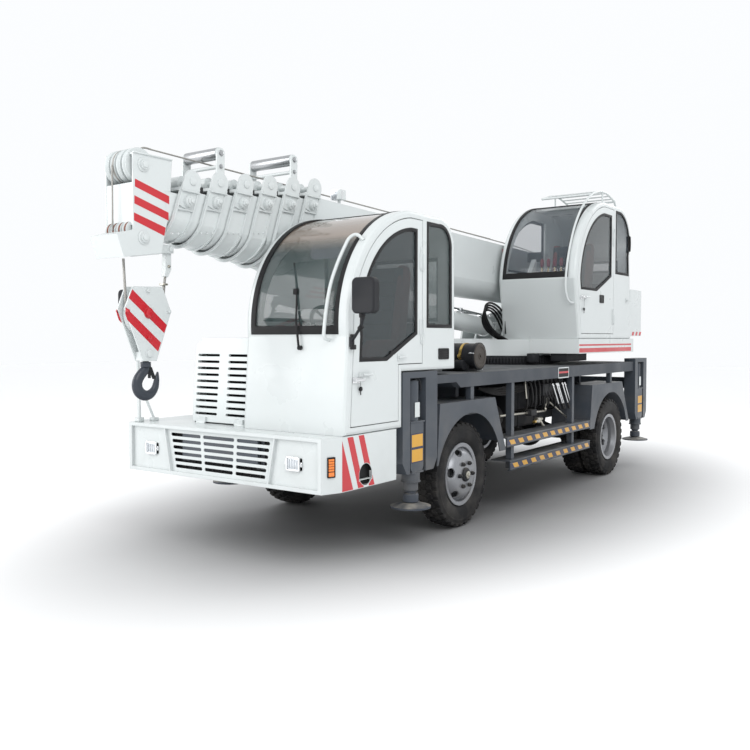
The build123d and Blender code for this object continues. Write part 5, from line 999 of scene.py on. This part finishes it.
kept([slab((0.870, 3.600, 0.860), (0.945, 3.740, 0.925), 0.008),
      bar((0.905, 3.58, 0.893), (0.905, 3.76, 0.890), 0.022, 6)], "pipe_valve", "chassis", iron)
kept([slab((0.910, 3.740, 0.775), (0.965, 3.800, 0.835), 0.010),
      bar((0.945, 3.69, 0.79), (0.945, 3.86, 0.815), 0.016),
      bar((0.955, 3.80, 0.80), (0.970, 3.84, 0.74), 0.013)], "drain_cock", "chassis", zinc)
kept([bar((0.945, 3.665, 0.795), (0.945, 3.700, 0.797), 0.019, 6)], "drain_nut", "chassis", brass)


def hoop(inner, outer, width, foot, way, sides):
    """Clamping band that starts at foot and is as wide along way as it says."""
    head = [a + b for a, b in zip(foot, way)]
    return turned([(inner, 0), (inner, width), (outer, width), (outer, 0)], foot, head, sides)


straps = [hoop(0.1305, 0.1335, 0.03, (0.5703, y, 0.850), BACKWARD, 40) for y in (2.78, 3.30)]
for y in (3.70, 4.10):
    straps.append(slab((0.440, y, 0.7155), (0.743, y + 0.035, 0.7195), 0.001))
    straps.append(slab((0.7405, y, 0.7160), (0.7440, y + 0.035, 1.178), 0.001))
kept(straps, "tank_straps", "chassis", iron)


# ---------------------------------------------------------------------------
# Air cleaner
# Painted sheet drum with brass-coloured straps, clips round its dusty end cap, and a ribbed rubber duct to
# the engine.
cap_brown = finish("cap_dust", (0.055, 0.047, 0.040), 0.5, dust=0.5, grime=0.3, tone=0.2)
CLEANER = (2.440, 1.505)
straps = []
for x in (0.610, 0.795):
    straps.append(hoop(0.1185, 0.1225, 0.026, (x, *CLEANER), LEFTWARD, 48))
    straps.append(slab((x, 2.296, 1.49), (x + 0.026, 2.322, 1.52), 0.003))
kept(straps, "cleaner_straps", "chassis", brass)
CAP = [(0.0, 0.0), (0.0, 0.006), (0.030, 0.007), (0.034, 0.003), (0.082, 0.003), (0.088, 0.008),
       (0.112, 0.006), (0.118, 0.0)]
kept([turned(CAP, (0.9555, *CLEANER), (1.9555, *CLEANER), 48),
      hexagon((0.960, *CLEANER), (0.972, *CLEANER), 0.014)], "cleaner_cap", "chassis", cap_brown)
CLIPS, CLIP_CIRCLE = 3, 0.130
clips = []
for k in range(CLIPS):
    angle = 2 * math.pi * (k + 0.4) / CLIPS
    y, z = CLEANER[0] + CLIP_CIRCLE * math.cos(angle), CLEANER[1] + CLIP_CIRCLE * math.sin(angle)
    clips.append(bar((0.905, y, z), (0.958, y, z), 0.006, 12))
    clips.append(bar((0.915, y, z), (0.935, y, z), 0.010, 12))
kept(clips, "cleaner_clips", "chassis", chrome)
duct = [tube([(0.560, 2.310, 1.425), (0.50, 2.30, 1.425), (0.42, 2.26, 1.44), (0.30, 2.10, 1.44),
              (0.10, 2.0, 1.43)], 0.044, 16)]
duct += [hoop(0.047, 0.050, 0.008, (0.58 + 0.03 * k, 2.310, 1.425), LEFTWARD, 32) for k in range(9)]
kept(duct, "cleaner_duct", "chassis", hose_black)


# ---------------------------------------------------------------------------
# Cab interiors
# Dark moulded linings over the steel, a black floor mat, two-coloured vinyl seats, a dashboard top with
# papers, a pale sun visor, and in the upper cab the control levers with their red grips on brass stems.
lining = finish("cab_lining", (0.030, 0.034, 0.035), 0.6, dust=0.0, grime=0.0, tone=0.08, grain=500,
                relief=0.25)
seat_black = finish("seat_cloth", (0.028, 0.032, 0.040), 0.55, dust=0.0, grime=0.0, tone=0.1, grain=700,
                    relief=0.3)
seat_red = finish("seat_vinyl", (0.20, 0.045, 0.035), 0.42, dust=0.0, grime=0.0, tone=0.1, grain=380,
                  relief=0.25)
stem_brass = finish("lever_stem", (0.55, 0.42, 0.20), 0.25, dust=0.0, grime=0.0, metal=1.0, tone=0.05)
grip_red = finish("lever_grip", (0.22, 0.018, 0.035), 0.3, dust=0.0, grime=0.0, tone=0.05, coat=0.4)
dress(lining, "driver_seat", "operator_seat")


def inside(places, x0, x1):
    """Lining sheet drawn in the side view and as wide as the cab."""
    return plate([(x0, y, z) for y, z in places], (x1 - x0, 0, 0))


kept([slab((0.132, 0.250, 1.0175), (1.030, 0.880, 1.026), 0),
      slab((0.132, 0.900, 1.5225), (1.030, 1.690, 1.530), 0),
      slab((0.130, 0.300, 1.030), (0.137, 1.700, 1.770), 0),
      slab((0.250, 1.700, 1.530), (0.910, 1.7065, 1.800), 0),
      slab((0.132, 0.884, 1.026), (1.030, 0.892, 1.525), 0),
      slab((0.255, 0.262, 1.030), (1.000, 0.270, 1.640), 0)], "driver_cab_lining", "chassis", lining)
kept([slab((0.142, 4.680, 1.7055), (1.005, 6.370, 1.713), 0),
      slab((0.142, 4.600, 1.72), (0.149, 6.360, 2.430), 0),
      slab((0.210, 6.330, 1.72), (0.940, 6.337, 2.500), 0)], "operator_cab_lining", "turret", lining)
kept([slab((1.026, 0.300, 1.050), (1.033, 0.700, 1.480), 0.002),
      slab((1.000, 0.420, 1.250), (1.030, 0.660, 1.290), 0.008)], "driver_door_lining", "driver_door",
     lining)
kept([slab((0.999, 4.650, 1.760), (1.006, 5.600, 2.200), 0.002)], "operator_door_lining", "operator_door",
     lining)


def seat_trim(name, body, x, y, cushion):
    """Red vinyl bolsters down both sides of a seat, with a ribbed cloth centre; cushion is its height."""
    back = [(0.118, 0.085), (0.205, 0.600), (0.228, 0.712), (0.300, 0.712), (0.338, 0.640), (0.235, -0.065),
            (0.150, -0.065)]
    base = [(-0.285, -0.065), (-0.288, 0.030), (-0.235, 0.094), (0.150, 0.104), (0.150, -0.065)]
    reds, cloths = [], []
    for x0, x1 in ((x - 0.250, x - 0.175), (x + 0.175, x + 0.250)):
        for outline in (back, base):
            reds.append(inside([(y + behind, cushion + up) for behind, up in outline], x0, x1))
            softened(0.022, 4)
    ribs = []
    for k in range(5):
        low, lean = 0.110 + 0.115 * k, 0.003 + 0.01725 * k
        ribs.append([(0.118 + lean, low), (0.134 + lean, low + 0.110), (0.190 + lean, low + 0.110),
                     (0.170 + lean, low)])
    for k in range(4):
        front = 0.098 * k - 0.270
        ribs.append([(front, 0.050), (front, 0.094), (front + 0.094, 0.100), (front + 0.094, 0.050)])
    for rib in ribs:
        cloths.append(inside([(y + behind, cushion + up) for behind, up in rib], x - 0.172, x + 0.172))
        softened(0.012, 3)
    kept(reds, f"{name}_bolsters", body, seat_red)
    kept(cloths, f"{name}_centre", body, seat_black)


SEAT_X = 0.600
seat_trim("driver_seat", "chassis", SEAT_X, 1.090, 1.560)
seat_trim("operator_seat", "turret", SEAT_X, 5.300, 2.120)
GRIP = [(0.0, 0.0), (0.012, 0.0), (0.018, 0.012), (0.021, 0.045), (0.0225, 0.075), (0.018, 0.096),
        (0.008, 0.104), (0.0, 0.105)]
GAITER = [(0.034, 0.0), (0.026, 0.012), (0.028, 0.018), (0.018, 0.030), (0.020, 0.036), (0.011, 0.050),
          (0.0, 0.05), (0.0, 0.0)]
stems, grips, gaiters = [], [], []
for k in range(-1, 4):
    x = SEAT_X + 0.080 * k
    stems.append(bar((x, 4.7745, 2.230), (x, 4.800, 2.515), 0.0092, 16))
    grips.append(turned(GRIP, (x, 4.799, 2.500), (x, 4.804, 2.560), 20))
    gaiters.append(turned(GAITER, (x, 4.772, 2.235), (x, 4.776, 2.285), 20))
kept(stems, "lever_stems", "turret", stem_brass)
kept(grips, "lever_grips_upper", "turret", grip_red)
kept(gaiters, "lever_gaiters", "turret", hose_black)
kept([slab((0.300, 4.640, 1.720), (0.420, 4.780, 2.300), 0.02),
      inside([(4.66, 2.28), (4.95, 2.64), (5.00, 2.62), (4.74, 2.24)], 0.330, 0.390)],
     "gauge_stand", "turret", white)
kept([slab((0.270, 4.93, 2.585), (0.450, 4.965, 2.70), 0.012)], "gauge_box", "turret", lining)
kept([slab((0.200, 0.310, 1.603), (0.520, 0.470, 1.606), 0.0005),
      slab((0.300, 0.330, 1.607), (0.470, 0.450, 1.611), 0.0005)],
     "papers_on_dash", "chassis", boom_white)
visor_vinyl = finish("visor_vinyl", (0.62, 0.60, 0.74), 0.5, dust=0.0, grime=0.0, tone=0.03)
kept([panel((0.445, 0.790, 2.368), 0.300, 0.125, 0.05, 0.014, (0.1, -1, 0.25), edge=0.005)], "sun_visor",
     "chassis", visor_vinyl)
COLUMN = ((SEAT_X, 0.700, 1.760), (SEAT_X, 0.920, 1.960))
RIM = [(0.195, -0.012), (0.2, -0.02), (0.21, -0.02), (0.222, 0.0), (0.21, 0.02), (0.2, 0.02), (0.195, 0.012)]
BOSS = [(0.0, -0.03), (0.05, -0.03), (0.055, 0.01), (0.03, 0.024), (0.0, 0.024)]
kept([turned(RIM, *COLUMN, 48), turned(BOSS, *COLUMN, 32)],
     "steering_wheel_cover", "chassis", moulding)


# ---------------------------------------------------------------------------
# Turntable and platform
# Slewing ring with cut teeth, greased black, and a platform of folded sheet with two red stripes along its
# sides; three short slanted marks at the foot of the counterweight.
SLEW_CENTRE = (0.0, 4.950)
TEETH = 108
tooth = slab((-0.0105, SLEW_CENTRE[1] + 0.612, 1.378), (0.0105, SLEW_CENTRE[1] + 0.643, 1.440), 0.003)
bpy.ops.object.mode_set(mode="EDIT")
bpy.ops.mesh.select_all(action="SELECT")
bpy.ops.mesh.spin(steps=TEETH, dupli=True, angle=2 * math.pi, center=at(*SLEW_CENTRE, 1.4), axis=(0, 0, 1))
bpy.ops.mesh.select_all(action="SELECT")
bpy.ops.mesh.remove_doubles(threshold=0.0001)
bpy.ops.object.mode_set(mode="OBJECT")
kept([tooth], "slew_teeth", "chassis", iron)
kept([slab((0.700, 4.650, 1.405), (0.900, 5.260, 1.4945), 0.006),
      bar((0.55, 4.50, 1.40), (0.55, 4.50, 1.4945), 0.07),
      bar((0.55, 4.50, 1.385), (0.55, 4.50, 1.42), 0.045, 16)], "slew_drive", "turret", iron)
PLATFORM_FACE, BLOCK_SIDE = 1.0502, 1.0002
stripes = []
for side in (-1, 1):
    for z0, z1 in ((1.582, 1.602), (1.507, 1.557)):
        stripes.append(sticker(side * PLATFORM_FACE, 4.637, 6.425, z0, z1, side * TAPE_T))
    for y in (6.600, 6.745, 6.890):
        stripes.append(sticker(side * BLOCK_SIDE, y, y + 0.075, 1.706, 1.756, side * TAPE_T, 0.030))
kept(stripes, "platform_stripes", "turret", red_tape)
kept([slab((0.0402, 4.735, 2.590), (0.0432, 4.775, 2.745), 0.001)], "mast_mark", "boom", red_tape)


# ---------------------------------------------------------------------------
# Lift cylinder
# White painted barrel with plated pipes clamped along it, and a hard chromed rod; rubber hoses loop beside
# it on the turret.
dress(chrome, "cylinder_rod")
BOOM_X = -0.200
FOOT, EYE = (4.850, 1.800), (2.600, 2.000)


def on_cylinder(x, along, out):
    """Place on the lift cylinder: metres from its foot and above its centre line."""
    length = math.hypot(EYE[0] - FOOT[0], EYE[1] - FOOT[1])
    dy, dz = (EYE[0] - FOOT[0]) / length, (EYE[1] - FOOT[1]) / length
    return (x, FOOT[0] + dy * along + dz * out, FOOT[1] + dz * along - dy * out)


LONG_X, SHORT_X, BEND_X = -0.13, -0.20, -0.15
long_run = [(LONG_X, 0.12, 0.125), (LONG_X, 0.5, 0.125), (LONG_X, 1.0, 0.125), (LONG_X, 1.16, 0.125),
            (BEND_X, 1.20, 0.100)]
short_run = [(SHORT_X, 0.10, 0.135), (SHORT_X, 0.30, 0.135), (SHORT_X, 0.60, 0.130), (SHORT_X, 0.68, 0.100)]
pipes = [tube([on_cylinder(*place) for place in run], 0.013) for run in (long_run, short_run)]
UNIONS = ((hexagon, LONG_X, 0.06, 0.125, 0.14, 0.125, 0.024),
          (hexagon, SHORT_X, 0.05, 0.135, 0.12, 0.135, 0.024),
          (bar, SHORT_X, 0.68, 0.095, 0.68, 0.135, 0.026),
          (bar, BEND_X, 1.20, 0.075, 1.20, 0.120, 0.026))
for shape, x, along0, out0, along1, out1, radius in UNIONS:
    pipes.append(shape(on_cylinder(x, along0, out0), on_cylinder(x, along1, out1), radius))
for along in (0.3, 0.85):
    (_, y, low), (_, _, high) = on_cylinder(0, along, 0.105), on_cylinder(0, along, 0.145)
    pipes.append(slab((-0.215, y - 0.02, low - 0.01), (-0.110, y + 0.02, high), 0.004))
kept(pipes, "cylinder_pipes", "lift_barrel", chrome)
BAND = [(0.1055, -0.02), (0.1055, 0.02), (0.119, 0.02), (0.119, -0.02)]
clamps = [turned(BAND, on_cylinder(BOOM_X, along, 0), on_cylinder(BOOM_X, along + 1, 0), 48)
          for along in (0.12, 1.30)]
kept(clamps, "cylinder_bands", "lift_barrel", white)
hoses = []
for k in range(4):
    x = 0.03 * k
    hoses.append(tube([(0.035 * k - 0.02, 4.92, 1.67), (0.035 * k, 4.75, 1.86 + 0.03 * k),
                       (x + 0.02, 4.50 - 0.05 * k, 2.03 + 0.03 * k),
                       (x + 0.03, 4.25 - 0.06 * k, 1.99 + 0.02 * k), (x + 0.03, 4.22, 1.80),
                       (x + 0.05, 4.45, 1.70), (x + 0.08, 4.66, 1.64)], 0.0125))
kept(hoses, "turret_hoses", "turret", hose_black)


# ---------------------------------------------------------------------------
# Boom collars
# Welded guide collars: nuts on the pad bosses, pin heads on the ears, small bolts low on the band, nylon
# pads between the ears, and plated rope rollers on two of them.
TILT = math.radians(1.5)
LUFF = (BOOM_X, 6.400, 2.400)
roller_silver = finish("roller_silver", (0.42, 0.43, 0.44), 0.22, dust=0.0, grime=0.2, tone=0.12, metal=0.9,
                       grain=90, relief=0.03)
nylon = finish("nylon_pad", (0.03, 0.03, 0.032), 0.5, dust=0.1, grime=0.0, tone=0.05)


def on_boom(x, y, z):
    """Place on the level boom, from its luffing pin."""
    return (LUFF[0] + x, LUFF[1] + y * math.cos(TILT) + z * math.sin(TILT),
            LUFF[2] - y * math.sin(TILT) + z * math.cos(TILT))


def collar_at(k):
    """Half width, ear's place along the boom and its height on section k."""
    return 0.240 - 0.015 * (k - 1), -5.272 - 0.267 * (k - 1), 0.419 - 0.034 * (k - 1)


def across_boom(side, near, far, y, z):
    """Two places on a line across the boom, near and far from its middle on one side."""
    return on_boom(side * near, y, z), on_boom(side * far, y, z)


ROLLER_RISE = 0.225
for k in range(1, 7):
    half, y, z = collar_at(k)
    body = "boom" if k == 1 else f"section_{k}"
    boss = (y - 0.048, z - 0.156)
    fasteners, pads = [], []
    for side in (-1, 1):
        fasteners += [bar(*across_boom(side, half + 0.040, half + 0.046, *boss), 0.036, 32),
                      hexagon(*across_boom(side, half + 0.044, half + 0.062, *boss), 0.030),
                      bar(*across_boom(side, half + 0.060, half + 0.074, *boss), 0.015, 16),
                      bar(*across_boom(side, half + 0.013, half + 0.021, y, z), 0.031, 32)]
        for back, drop in ((0.075, 0.392), (0.130, 0.400), (0.187, 0.405)):
            low = max(z - drop, -0.165)
            fasteners.append(hexagon(*across_boom(side, half + 0.003, half + 0.013, y - back, low), 0.0085))
        for low, out, ahead, behind in ((z - 0.086, 0.030, 0.113, 0.062), (z - 0.224, 0.022, 0.150, 0.012)):
            edges = ((y - ahead, low), (y + behind, low), (y + behind, low + 0.009), (y - ahead, low + 0.009))
            fasteners.append(plate([on_boom(side * (half + 0.0005), *edge) for edge in edges],
                                   (side * out, 0, 0)))
        x = side * half * 0.72
        pads.append(slab(on_boom(x - 0.035, y + 0.088, z - 0.085), on_boom(x + 0.035, y + 0.128, z - 0.020),
                         0.004))
    pads.append(bar(on_boom(-half * 0.35, y + 0.105, z - 0.045), on_boom(half * 0.35, y + 0.105, z - 0.045),
                    0.022))
    kept(fasteners, f"collar_{k}_fasteners", body, boom_white)
    kept(pads, f"collar_{k}_pads", body, nylon)
    if k in (2, 5):
        roller = bar(on_boom(0.004 - half, y, z + ROLLER_RISE), on_boom(half - 0.004, y, z + ROLLER_RISE),
                     0.0458, 40, 0.003)
        kept([roller], f"rope_roller_{k}", body, roller_silver)
        heads = []
        for side in (-1, 1):
            for rise, size in ((ROLLER_RISE, 0.019), (0.125, 0.014)):
                heads += [bar(*across_boom(side, half + 0.013, half + 0.018, y, z + rise), size * 1.25, 24),
                          hexagon(*across_boom(side, half + 0.016, half + 0.028, y, z + rise), size)]
        kept(heads, f"roller_bolts_{k}", body, roller_silver)
LAMP_WAY = (0.15, -1, 0)
kept([panel(on_boom(0.180, -4.8885, 0.4335), 0.108, 0.082, 0.012, 0.008, LAMP_WAY, edge=0.003)],
     "floodlight_lens", "boom", lens_clear)
kept([panel(on_boom(0.180, -4.886, 0.4335), 0.118, 0.092, 0.014, 0.075, LAMP_WAY, rim=0.008, edge=0.002)],
     "floodlight_shell", "boom", chrome)


# ---------------------------------------------------------------------------
# Hoisting rope
# Steel wire rope under tension: drum, luffing pin, along the top of the boom under the rollers and over the
# head sheaves. Each section carries its own length, long enough to reach the next one when the boom is run
# out.
wire = finish("wire_rope", (0.34, 0.33, 0.31), 0.38, dust=0.0, grime=0.1, tone=0.1, metal=0.7, grain=500,
              relief=0.6)
ROPE_R = 0.007
LINE_Z = 0.455
STROKE = 3.900


def strand(start, end, radius=ROPE_R, sides=12):
    """Straight length of rope between two places."""
    return bar(start, end, radius, sides, 0.0005)


for k in range(2, 7):
    half, y, z = collar_at(k)
    length = strand(on_boom(0, y - 0.267, LINE_Z), on_boom(0, y + 0.10 + STROKE, LINE_Z), ROPE_R - 0.0002 * k)
    kept([length], f"rope_section_{k}", f"section_{k}", wire)
kept([tube([on_boom(0, -5.100, LINE_Z), on_boom(0, -3.0, LINE_Z), on_boom(0, -0.25, LINE_Z),
            on_boom(0, -0.06, LINE_Z - 0.06), on_boom(0, -0.03, 0.2), on_boom(0, 0.0, 0.086)], ROPE_R),
      strand(on_boom(0, -5.45, LINE_Z), on_boom(0, -5.09, LINE_Z))], "rope_on_base", "boom", wire)
kept([bar(on_boom(-0.12, -0.14, 0.395), on_boom(0.12, -0.14, 0.395), 0.052)]
     + [slab(on_boom(x - 0.008, -0.21, 0.34), on_boom(x + 0.008, -0.07, 0.44), 0.004)
        for x in (-0.115, 0.115)], "rope_guide", "boom", boom_white)
kept([strand((BOOM_X, 6.400, 2.486), (BOOM_X, 6.885, 2.232))], "rope_to_drum", "turret", wire)
WINDINGS, ROPE_PITCH = 27, 0.0175
coil = [(0.104, -0.236)]
for k in range(WINDINGS):
    middle = -0.227 + ROPE_PITCH * k
    coil += [(radius, middle + step) for radius, step in ((0.106, -0.0086), (0.1105, -0.0070),
                                                          (0.1135, -0.003), (0.1135, 0.003),
                                                          (0.1105, 0.0070), (0.106, 0.0086))]
coil += [(0.104, 0.240)]
kept([turned(coil, (BOOM_X, 6.880, 2.120), (BOOM_X + 1, 6.880, 2.120), 64)], "rope_on_drum", "winch", wire)


# ---------------------------------------------------------------------------
# Boom head
# Twin side plates with three red slanted bands, large washers on the sheave pins, and rope over the upper
# sheaves, down the front in one part and round the four lower sheaves.
HEAD_FACE = 0.150
HEAD_BANDS = [[(-0.706, 2.769), (-0.401, 2.689), (-0.401, 2.631), (-0.707, 2.715)],
              [(-0.712, 2.654), (-0.408, 2.571), (-0.408, 2.514), (-0.713, 2.598)],
              [(-0.717, 2.536), (-0.435, 2.461), (-0.449, 2.401), (-0.717, 2.481)]]
UPPER_SHEAVE, LOWER_SHEAVE = (-0.633, 2.876), (-0.695, 2.421)
SHEAVE_PITCH = 0.062
bands, washers = [], []
for side in (-1, 1):
    x = BOOM_X + side * HEAD_FACE
    bands += [plate([(x, y, z) for y, z in outline], (side * TAPE_T, 0, 0)) for outline in HEAD_BANDS]
    for place in (UPPER_SHEAVE, (-0.635, 2.371)):
        washers += [bar((x, *place), (x + side * 0.007, *place), 0.050, 40),
                    bar((x + side * 0.020, *place), (x + side * 0.030, *place), 0.022, 24)]
    lug = BOOM_X + side * 0.043
    washers.append(slab((x - 0.010, -0.720, 2.9455), (x + 0.010, -0.372, 2.9565), 0.002))
    washers.append(slab((lug - 0.003, -0.330, 2.296), (lug + 0.003, -0.270, 2.356), 0.002))
    washers.append(hexagon((lug + side * 0.003, -0.300, 2.326), (lug + side * 0.017, -0.300, 2.326), 0.022))
kept(bands, "head_bands", "section_7", red_tape)
kept(washers, "head_washers", "section_7", boom_white)


def winding(x, y, z, radius):
    """One turn of rope that lies in a sheave's groove."""
    bpy.ops.mesh.primitive_torus_add(major_radius=radius, minor_radius=0.0068, major_segments=56,
                                     minor_segments=10, location=at(x, y, z), rotation=(0, math.pi / 2, 0))
    return bpy.context.object


fall_x = BOOM_X - SHEAVE_PITCH / 2
falls = [strand((fall_x, -0.7545, 2.876), (fall_x, -0.7565, 2.421), 0.0065),
         winding(fall_x, *UPPER_SHEAVE, 0.1150),
         tube([(BOOM_X, -0.633, 2.9985), (BOOM_X, -0.50, 2.998), on_boom(0, -6.98, LINE_Z + 0.012),
               on_boom(0, -6.85, LINE_Z)], ROPE_R),
         strand(on_boom(0, -6.86, LINE_Z), on_boom(0, -6.50 + STROKE, LINE_Z), ROPE_R - 0.0014)]
kept(falls, "head_ropes", "section_7", wire)
greased_rope = finish("greased_rope", (0.20, 0.085, 0.06), 0.35, dust=0.0, grime=0.0, metal=0.6, tone=0.1)
kept([winding(BOOM_X + (k - 1.5) * SHEAVE_PITCH, *LOWER_SHEAVE, 0.0555) for k in range(4)],
     "lower_sheave_ropes", "section_7", greased_rope)


# ---------------------------------------------------------------------------
# Hook block
# Pair of flame-cut plates with two red bands and their bolts, the two falls of rope, and a rope clip under
# the wedge socket.
BLOCK_FACE = 0.046
BLOCK_BANDS = [[(-0.653, 2.015), (-0.341, 1.767), (-0.367, 1.708), (-0.686, 1.953)],
               [(-0.713, 1.889), (-0.397, 1.638), (-0.426, 1.574), (-0.699, 1.798), (-0.716, 1.840)]]
bands, white_bolts, red_bolts = [], [], []
for side in (-1, 1):
    x = BOOM_X + side * BLOCK_FACE
    bands += [plate([(x, y, z) for y, z in outline], (side * TAPE_T, 0, 0)) for outline in BLOCK_BANDS]
    for y, z, radius, pile in ((-0.518, 2.012, 0.014, white_bolts), (-0.510, 1.852, 0.033, red_bolts),
                               (-0.700, 1.862, 0.013, red_bolts), (-0.325, 1.868, 0.014, white_bolts),
                               (-0.512, 1.677, 0.015, red_bolts), (-0.509, 1.562, 0.026, white_bolts)):
        pile += [bar((x, y, z), (x + side * 0.004, y, z), radius * 1.25, 32, 0.001),
                 bar((x, y, z), (x + side * 0.017, y, z), radius, 32, 0.002)]
kept(bands, "block_bands", "hook_block", red_tape)
kept(white_bolts, "block_bolts", "hook_block", boom_white)
kept(red_bolts, "block_bolts_on_bands", "hook_block", red_tape)
kept([strand((BOOM_X, -0.346, 1.850), (BOOM_X, -0.314, 2.137), 0.0092, 16),
      strand((BOOM_X, -0.670, 1.850), (BOOM_X, -0.692, 2.230), 0.0092, 16),
      strand((BOOM_X, -0.312, 2.120), (-0.193, -0.346, 2.020), 0.0085, 16)],
     "block_ropes", "hook_block", wire)
kept([slab((-0.225, -0.352, 2.060), (-0.175, -0.316, 2.074), 0.003),
      hexagon((-0.216, -0.35, 2.067), (-0.216, -0.306, 2.067), 0.009),
      hexagon((-0.184, -0.35, 2.067), (-0.184, -0.306, 2.067), 0.009),
      hexagon((-0.176, -0.300, 2.200), (-0.166, -0.300, 2.200), 0.012)],
     "rope_clip", "hook_block", zinc)


# ---------------------------------------------------------------------------
# Hook
# Forged single hook, thickest below its seat, with a machined shank, a forged point and a sprung safety
# latch.
hook_slate = finish("hook_enamel", (0.035, 0.042, 0.055), 0.35, dust=0.1, grime=0.1, tone=0.1, coat=0.3)
#        y       z      half depth of the section
HOOK = [(-0.502, 1.552, 0.024), (-0.502, 1.500, 0.024), (-0.502, 1.470, 0.030), (-0.510, 1.440, 0.036),
        (-0.548, 1.408, 0.038), (-0.580, 1.365, 0.0405), (-0.584, 1.315, 0.042), (-0.555, 1.272, 0.042),
        (-0.505, 1.252, 0.038), (-0.455, 1.264, 0.034), (-0.419, 1.300, 0.029), (-0.405, 1.350, 0.025),
        (-0.398, 1.392, 0.018), (-0.393, 1.424, 0.007)]
NARROWED = 0.72
forging = tube([(0, y, z) for y, z, half in HOOK], 1.0, 24, [half for y, z, half in HOOK], 3, 10)
forging.scale = (NARROWED, 1, 1)
bpy.ops.object.transform_apply(location=False, rotation=False, scale=True)
forging.location.x = BOOM_X
hook_parts = [forging, bar((BOOM_X, -0.502, 1.462), (BOOM_X, -0.502, 1.500), 0.038, 32, 0.004)]
hook_piece = kept(hook_parts, "lifting_hook", "hook", hook_slate, 50)
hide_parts("hook")
kept([bar((-0.212, -0.468, 1.452), (-0.188, -0.468, 1.452), 0.012, 20, 0.001),
      bar((-0.214, -0.470, 1.448), (-0.214, -0.424, 1.392), 0.0032, 10, 0.0005),
      slab((-0.214, -0.474, 1.380), (-0.186, -0.466, 1.462), 0.003),
      plate([(-0.214, -0.474, 1.462), (-0.214, -0.458, 1.462), (-0.214, -0.420, 1.378),
             (-0.214, -0.430, 1.372)], (0.028, 0, 0))], "hook_latch", "hook", iron)
